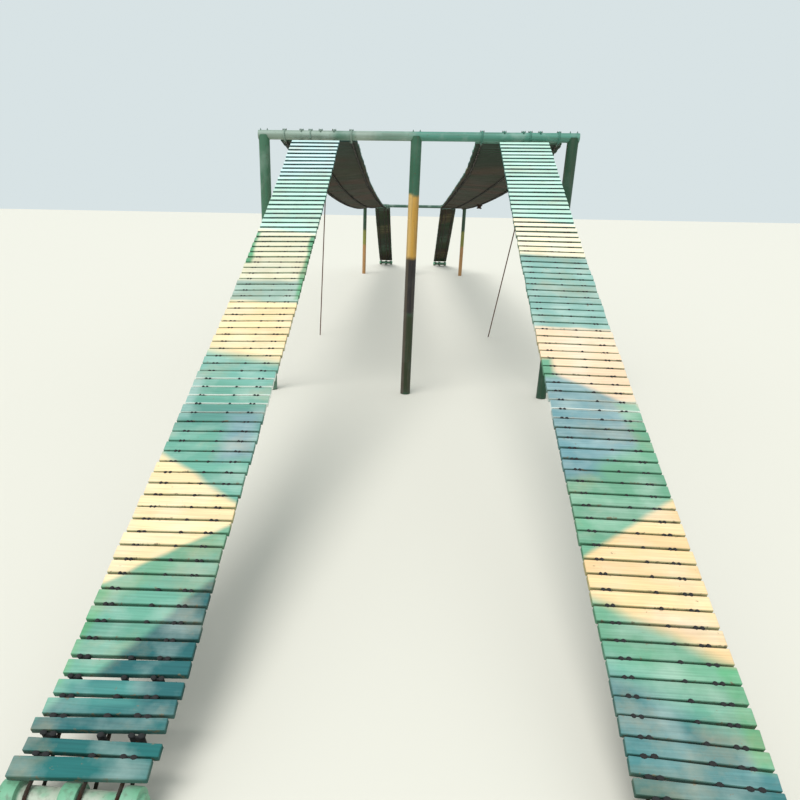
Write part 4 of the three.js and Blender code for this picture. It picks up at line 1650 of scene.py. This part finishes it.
frameFinishes = {
    "near": {
        "left": enamelledSteel("enamelledPostLeft", "leftPostGreen", chalk=0.2),
        "middle": enamelledSteel("enamelledMiddlePost", "middlePostGreen", nearMiddlePaint, chalk=0.05),
        "right": enamelledSteel("enamelledPostRight", "rightPostGreen", chalk=0.05),
        "beam": enamelledSteel("enamelledNearBeam", "beamTeal", nearBeamPaint, upright=False),
    },
    "far": {
        "left": farPostFinish,
        "middle": farPostFinish,
        "right": farPostFinish,
        "beam": enamelledSteel("enamelledFarBeam", "farBeamGreen", upright=False),
    },
}
postPlaces = ("left", "middle", "right")

# U-bolts that hold the ropes up against a beam, and through-bolts at the posts
beamBolts = {
    "bar": 0.004,
    "half": 0.0165,
    "postHalf": 0.036,
    "steps": 10,
    "aboveBeam": 0.001,
    "nutSunk": 0.0004,
}


def uBoltLine(x, beam):
    half, ropeHeight = beamBolts["half"], beam.z - ropes["onBeam"]
    top = beam.z + beamRadius + beamBolts["aboveBeam"]
    line = [Vector((x - half, beam.y, top))]
    for i in range(beamBolts["steps"] + 1):
        angle = math.pi * i / beamBolts["steps"]
        line.append(Vector((x - half * math.cos(angle), beam.y, ropeHeight - half * math.sin(angle))))
    return line + [Vector((x + half, beam.y, top))]


def addBeamBolts(label, beam):
    end = 0 if label == "near" else 1
    places = []
    for lane in lanes.values():
        places += [lane["sign"] * head for foot, head in lane["ramps"][label]["ropes"]]
        places += [lane["sign"] * lane["deckLines"][line][end] for line in ropeNumbers]
    addBars(f"{label}UBolts", [uBoltLine(x, beam) for x in places], beamBolts["bar"], 0.005, 8, zinc)
    pairs = [(x, beamBolts["half"]) for x in places]
    pairs += [(middleOf(f"{label}_post_{place}").x, beamBolts["postHalf"]) for place in postPlaces]
    top = beam.z + beamRadius - beamBolts["nutSunk"]
    lines = [[Vector((x - half, beam.y, top)), Vector((x + half, beam.y, top))] for x, half in pairs]
    addItems(f"{label}Nuts", nutItem, lines, Vector((0, -1, 0)), zinc, seeds["nuts"], "bolted")


for label, beam in (("near", nearBeam), ("far", farBeam)):
    finishes = frameFinishes[label]
    for place in postPlaces:
        addPost(f"{label}_post_{place}", beam, finishes[place])
    addBeam(f"{label}_beam", finishes["beam"])
    loops = [beadLoop(middleOf(f"{label}_post_{place}"), beam) for place in postPlaces]
    addBars(f"{label}WeldBeads", loops, tube["beadRadius"], 0.006, 8, finishes["left"])
    addBeamBolts(label, beam)
print("frames built")

# Ground anchors

anchor = {
    "shaftRadius": 0.0505,
    "halfLength": 0.2615,
    "collarRadius": 0.0730,
    "collarWidth": 0.0615,
    "collarCentres": (-0.216, 0.0, 0.216),
    "round": 0.004,
    "fillet": 0.005,
}


def addAnchor(node, finish):
    radius, collar, r = anchor["shaftRadius"], anchor["collarRadius"], anchor["round"]
    half, end, fillet = anchor["collarWidth"] / 2, anchor["halfLength"], anchor["fillet"]
    profile = [(0, -end), (radius - r, -end), (radius, -end + r)]
    for centre in anchor["collarCentres"]:
        a, b = centre - half, centre + half
        profile += [(radius, a - fillet), (radius + fillet * 0.4, a - fillet * 0.4), (radius + fillet, a),
                    (collar - r, a), (collar - r * 0.3, a + r * 0.3), (collar, a + r),
                    (collar, b - r), (collar - r * 0.3, b - r * 0.3), (collar - r, b),
                    (radius + fillet, b), (radius + fillet * 0.4, b + fillet * 0.4), (radius, b + fillet)]
    profile += [(radius, end - r), (radius - r, end), (0, end)]
    mesh = latheMesh(node, profile, tube["sides"])
    addTurned("turned", node, mesh, lyingAt(middleOf(node)), finish)


anchorPaint = [
    # darker band along the bottom of each anchor
    ("anchorLowBand", (0, 0.0), (everywhere, 0.045), 0, 0.03),
    # pale stripes along the top of the left anchors' shafts: painted highlight
    ("anchorTopHighlight", (-1.18, 0.112), (0.085, 0.012), 0, 0.008),
    ("anchorTopHighlight", (-0.98, 0.112), (0.070, 0.012), 0, 0.008),
]
anchorFinish = enamelledSteel("enamelledAnchor", "anchorGreen", anchorPaint, chalk=0.25)
for label in ("near", "far"):
    for side in lanes:
        addAnchor(f"{label}_anchor_{side}", anchorFinish)
print("anchors built")

# Stays: a clamp under each deck's outer rope, an eye, and a rod down to the ground

stays = {
    "rod": 0.0085,
    "plates": [(0.052, 0.056, 0.011), (0.034, 0.056, 0.007), (0.052, 0.056, 0.008)],
    "eye": 0.017,
    "eyeBar": 0.006,
    "eyeSunk": 0.003,
    "hook": 0.014,
    "hookBelow": 0.012,
    "straight": 0.05,
    "kinkBelow": 0.16,
    "kink": {"left": 0.003, "right": 0.012},
}
# A rope splice is clamped under the right-hand deck's outer edge, in the middle of the span
splice = {
    "side": "right",
    "fromNearFrame": 9.7,
    "plates": [(0.130, 0.120, 0.024), (0.086, 0.104, 0.042), (0.116, 0.110, 0.018)],
}
# The top plate lies round the rope and ends just below the boards. Bolt places are shares of the
# lowest plate's sides, bolt radii of its thickness.
plates = {
    "start": 0.0072,
    "overlap": 0.0005,
    "rounding": 0.16,
    "boltPlaces": (-0.3, 0.3),
    "boltRadii": (0.7, 0.8),
    "boltHead": 0.006,
    "boltSunk": 0.0025,
}
rust = rustedSteel("rustedSteel", rustLook["brown"])
darkRust = rustedSteel("darkRustedSteel", rustLook["blackBrown"])


# Plates bolted together under a deck's outer rope, square to the deck, given from the top down
def hangingPlates(name, lane, point, sizes, finish):
    u, v = point
    middle = bankedPoint(lane, outerRope, u, v)
    across = (middle - bankedPoint(lane, middleRope, u, v)).normalized() * lane["sign"]
    along = (bankedPoint(lane, outerRope, u + 0.05, v) - middle).normalized()
    up = across.cross(along).normalized()
    turn = Matrix((across, up.cross(across), up)).transposed().to_4x4()
    shape = bmesh.new()
    level = plates["start"]
    for size in sizes:
        made = bmesh.ops.create_cube(shape, size=1)["verts"]
        bmesh.ops.scale(shape, vec=size, verts=made)
        bmesh.ops.translate(shape, vec=(0, 0, level - size[2] / 2), verts=made)
        edges = [edge for edge in shape.edges if edge.verts[0] in made]
        bmesh.ops.bevel(shape, geom=edges, offset=size[2] * plates["rounding"], segments=2, affect="EDGES")
        level -= size[2] - plates["overlap"]
    length, width, thickness = sizes[-1]
    under, over = [thickness * share for share in plates["boltRadii"]]
    for x in plates["boltPlaces"]:
        for y in plates["boltPlaces"]:
            spot = Matrix.Translation((x * length, y * width, level - plates["boltSunk"]))
            bmesh.ops.create_cone(shape, cap_ends=True, segments=6, radius1=under, radius2=over,
                                  depth=plates["boltHead"], matrix=spot)
    mesh = meshFromShape(name, shape, smooth=True)
    mesh.transform(Matrix.Translation(middle) @ turn)
    mesh.set_sharp_from_angle(angle=math.radians(40))
    mesh.materials.append(finish)
    return newObject(name, mesh), middle + Vector((0, 0, level))


# A closed ring round a middle, from one radius over to the other
def ringPoints(middle, first, second, steps):
    angles = [2 * math.pi * i / steps for i in range(steps + 1)]
    return [middle + first * math.cos(angle) + second * math.sin(angle) for angle in angles]


def addStay(side):
    lane = lanes[side]
    stay = lane["stay"]
    held = spanRoute(lane)["held"]
    clamp, underside = hangingPlates(f"stayClamp_{side}", lane, held, stays["plates"], rust)
    finishPiece(clamp)
    ground = Vector((lane["sign"] * stay["footX"], nearBeam.y + stay["footFromNearFrame"], 0))
    eyeMiddle = underside - Vector((0, 0, stays["eye"] - stays["eyeSunk"]))
    down = (ground - eyeMiddle).normalized()
    start = eyeMiddle + down * stays["eye"]
    bend = start + down * stays["kinkBelow"] + Vector((lane["sign"] * stays["kink"][side], 0, 0))
    # the rod stops where the rim of its tilted end meets the ground
    lowest = stays["rod"] * math.hypot(down.x, down.y)
    foot = ground + down * ((lowest - ground.z) / down.z)
    rod = [start, start + down * stays["straight"], bend, lerp(bend, foot, 0.2), lerp(bend, foot, 0.5), foot]
    addBars(f"stayRod_{side}", [rod], stays["rod"], 0.03, 12, rust, [f"stay_{side}"])
    eye = ringPoints(eyeMiddle, Vector((0, 0, stays["eye"])), Vector((stays["eye"], 0, 0)), 24)
    hookMiddle = start - Vector((0, 0, stays["hookBelow"]))
    hook = ringPoints(hookMiddle, Vector((0, 0, -stays["hook"])), Vector((0, stays["hook"], 0)), 20)
    addBars(f"stayRings_{side}", [eye, hook], stays["eyeBar"], 0.004, 12, rust)


for side in lanes:
    addStay(side)
spliced = lanes[splice["side"]]
hanging = spanRoute(spliced)["hanging"]
spot = trimRoute(hanging, nearBeam.y + splice["fromNearFrame"], deckTo)[0]
clamp, underside = hangingPlates("spliceClamp", spliced, spot, splice["plates"], darkRust)
finishPiece(clamp)
print("stays built")

for item in items:
    bpy.data.objects.remove(item)
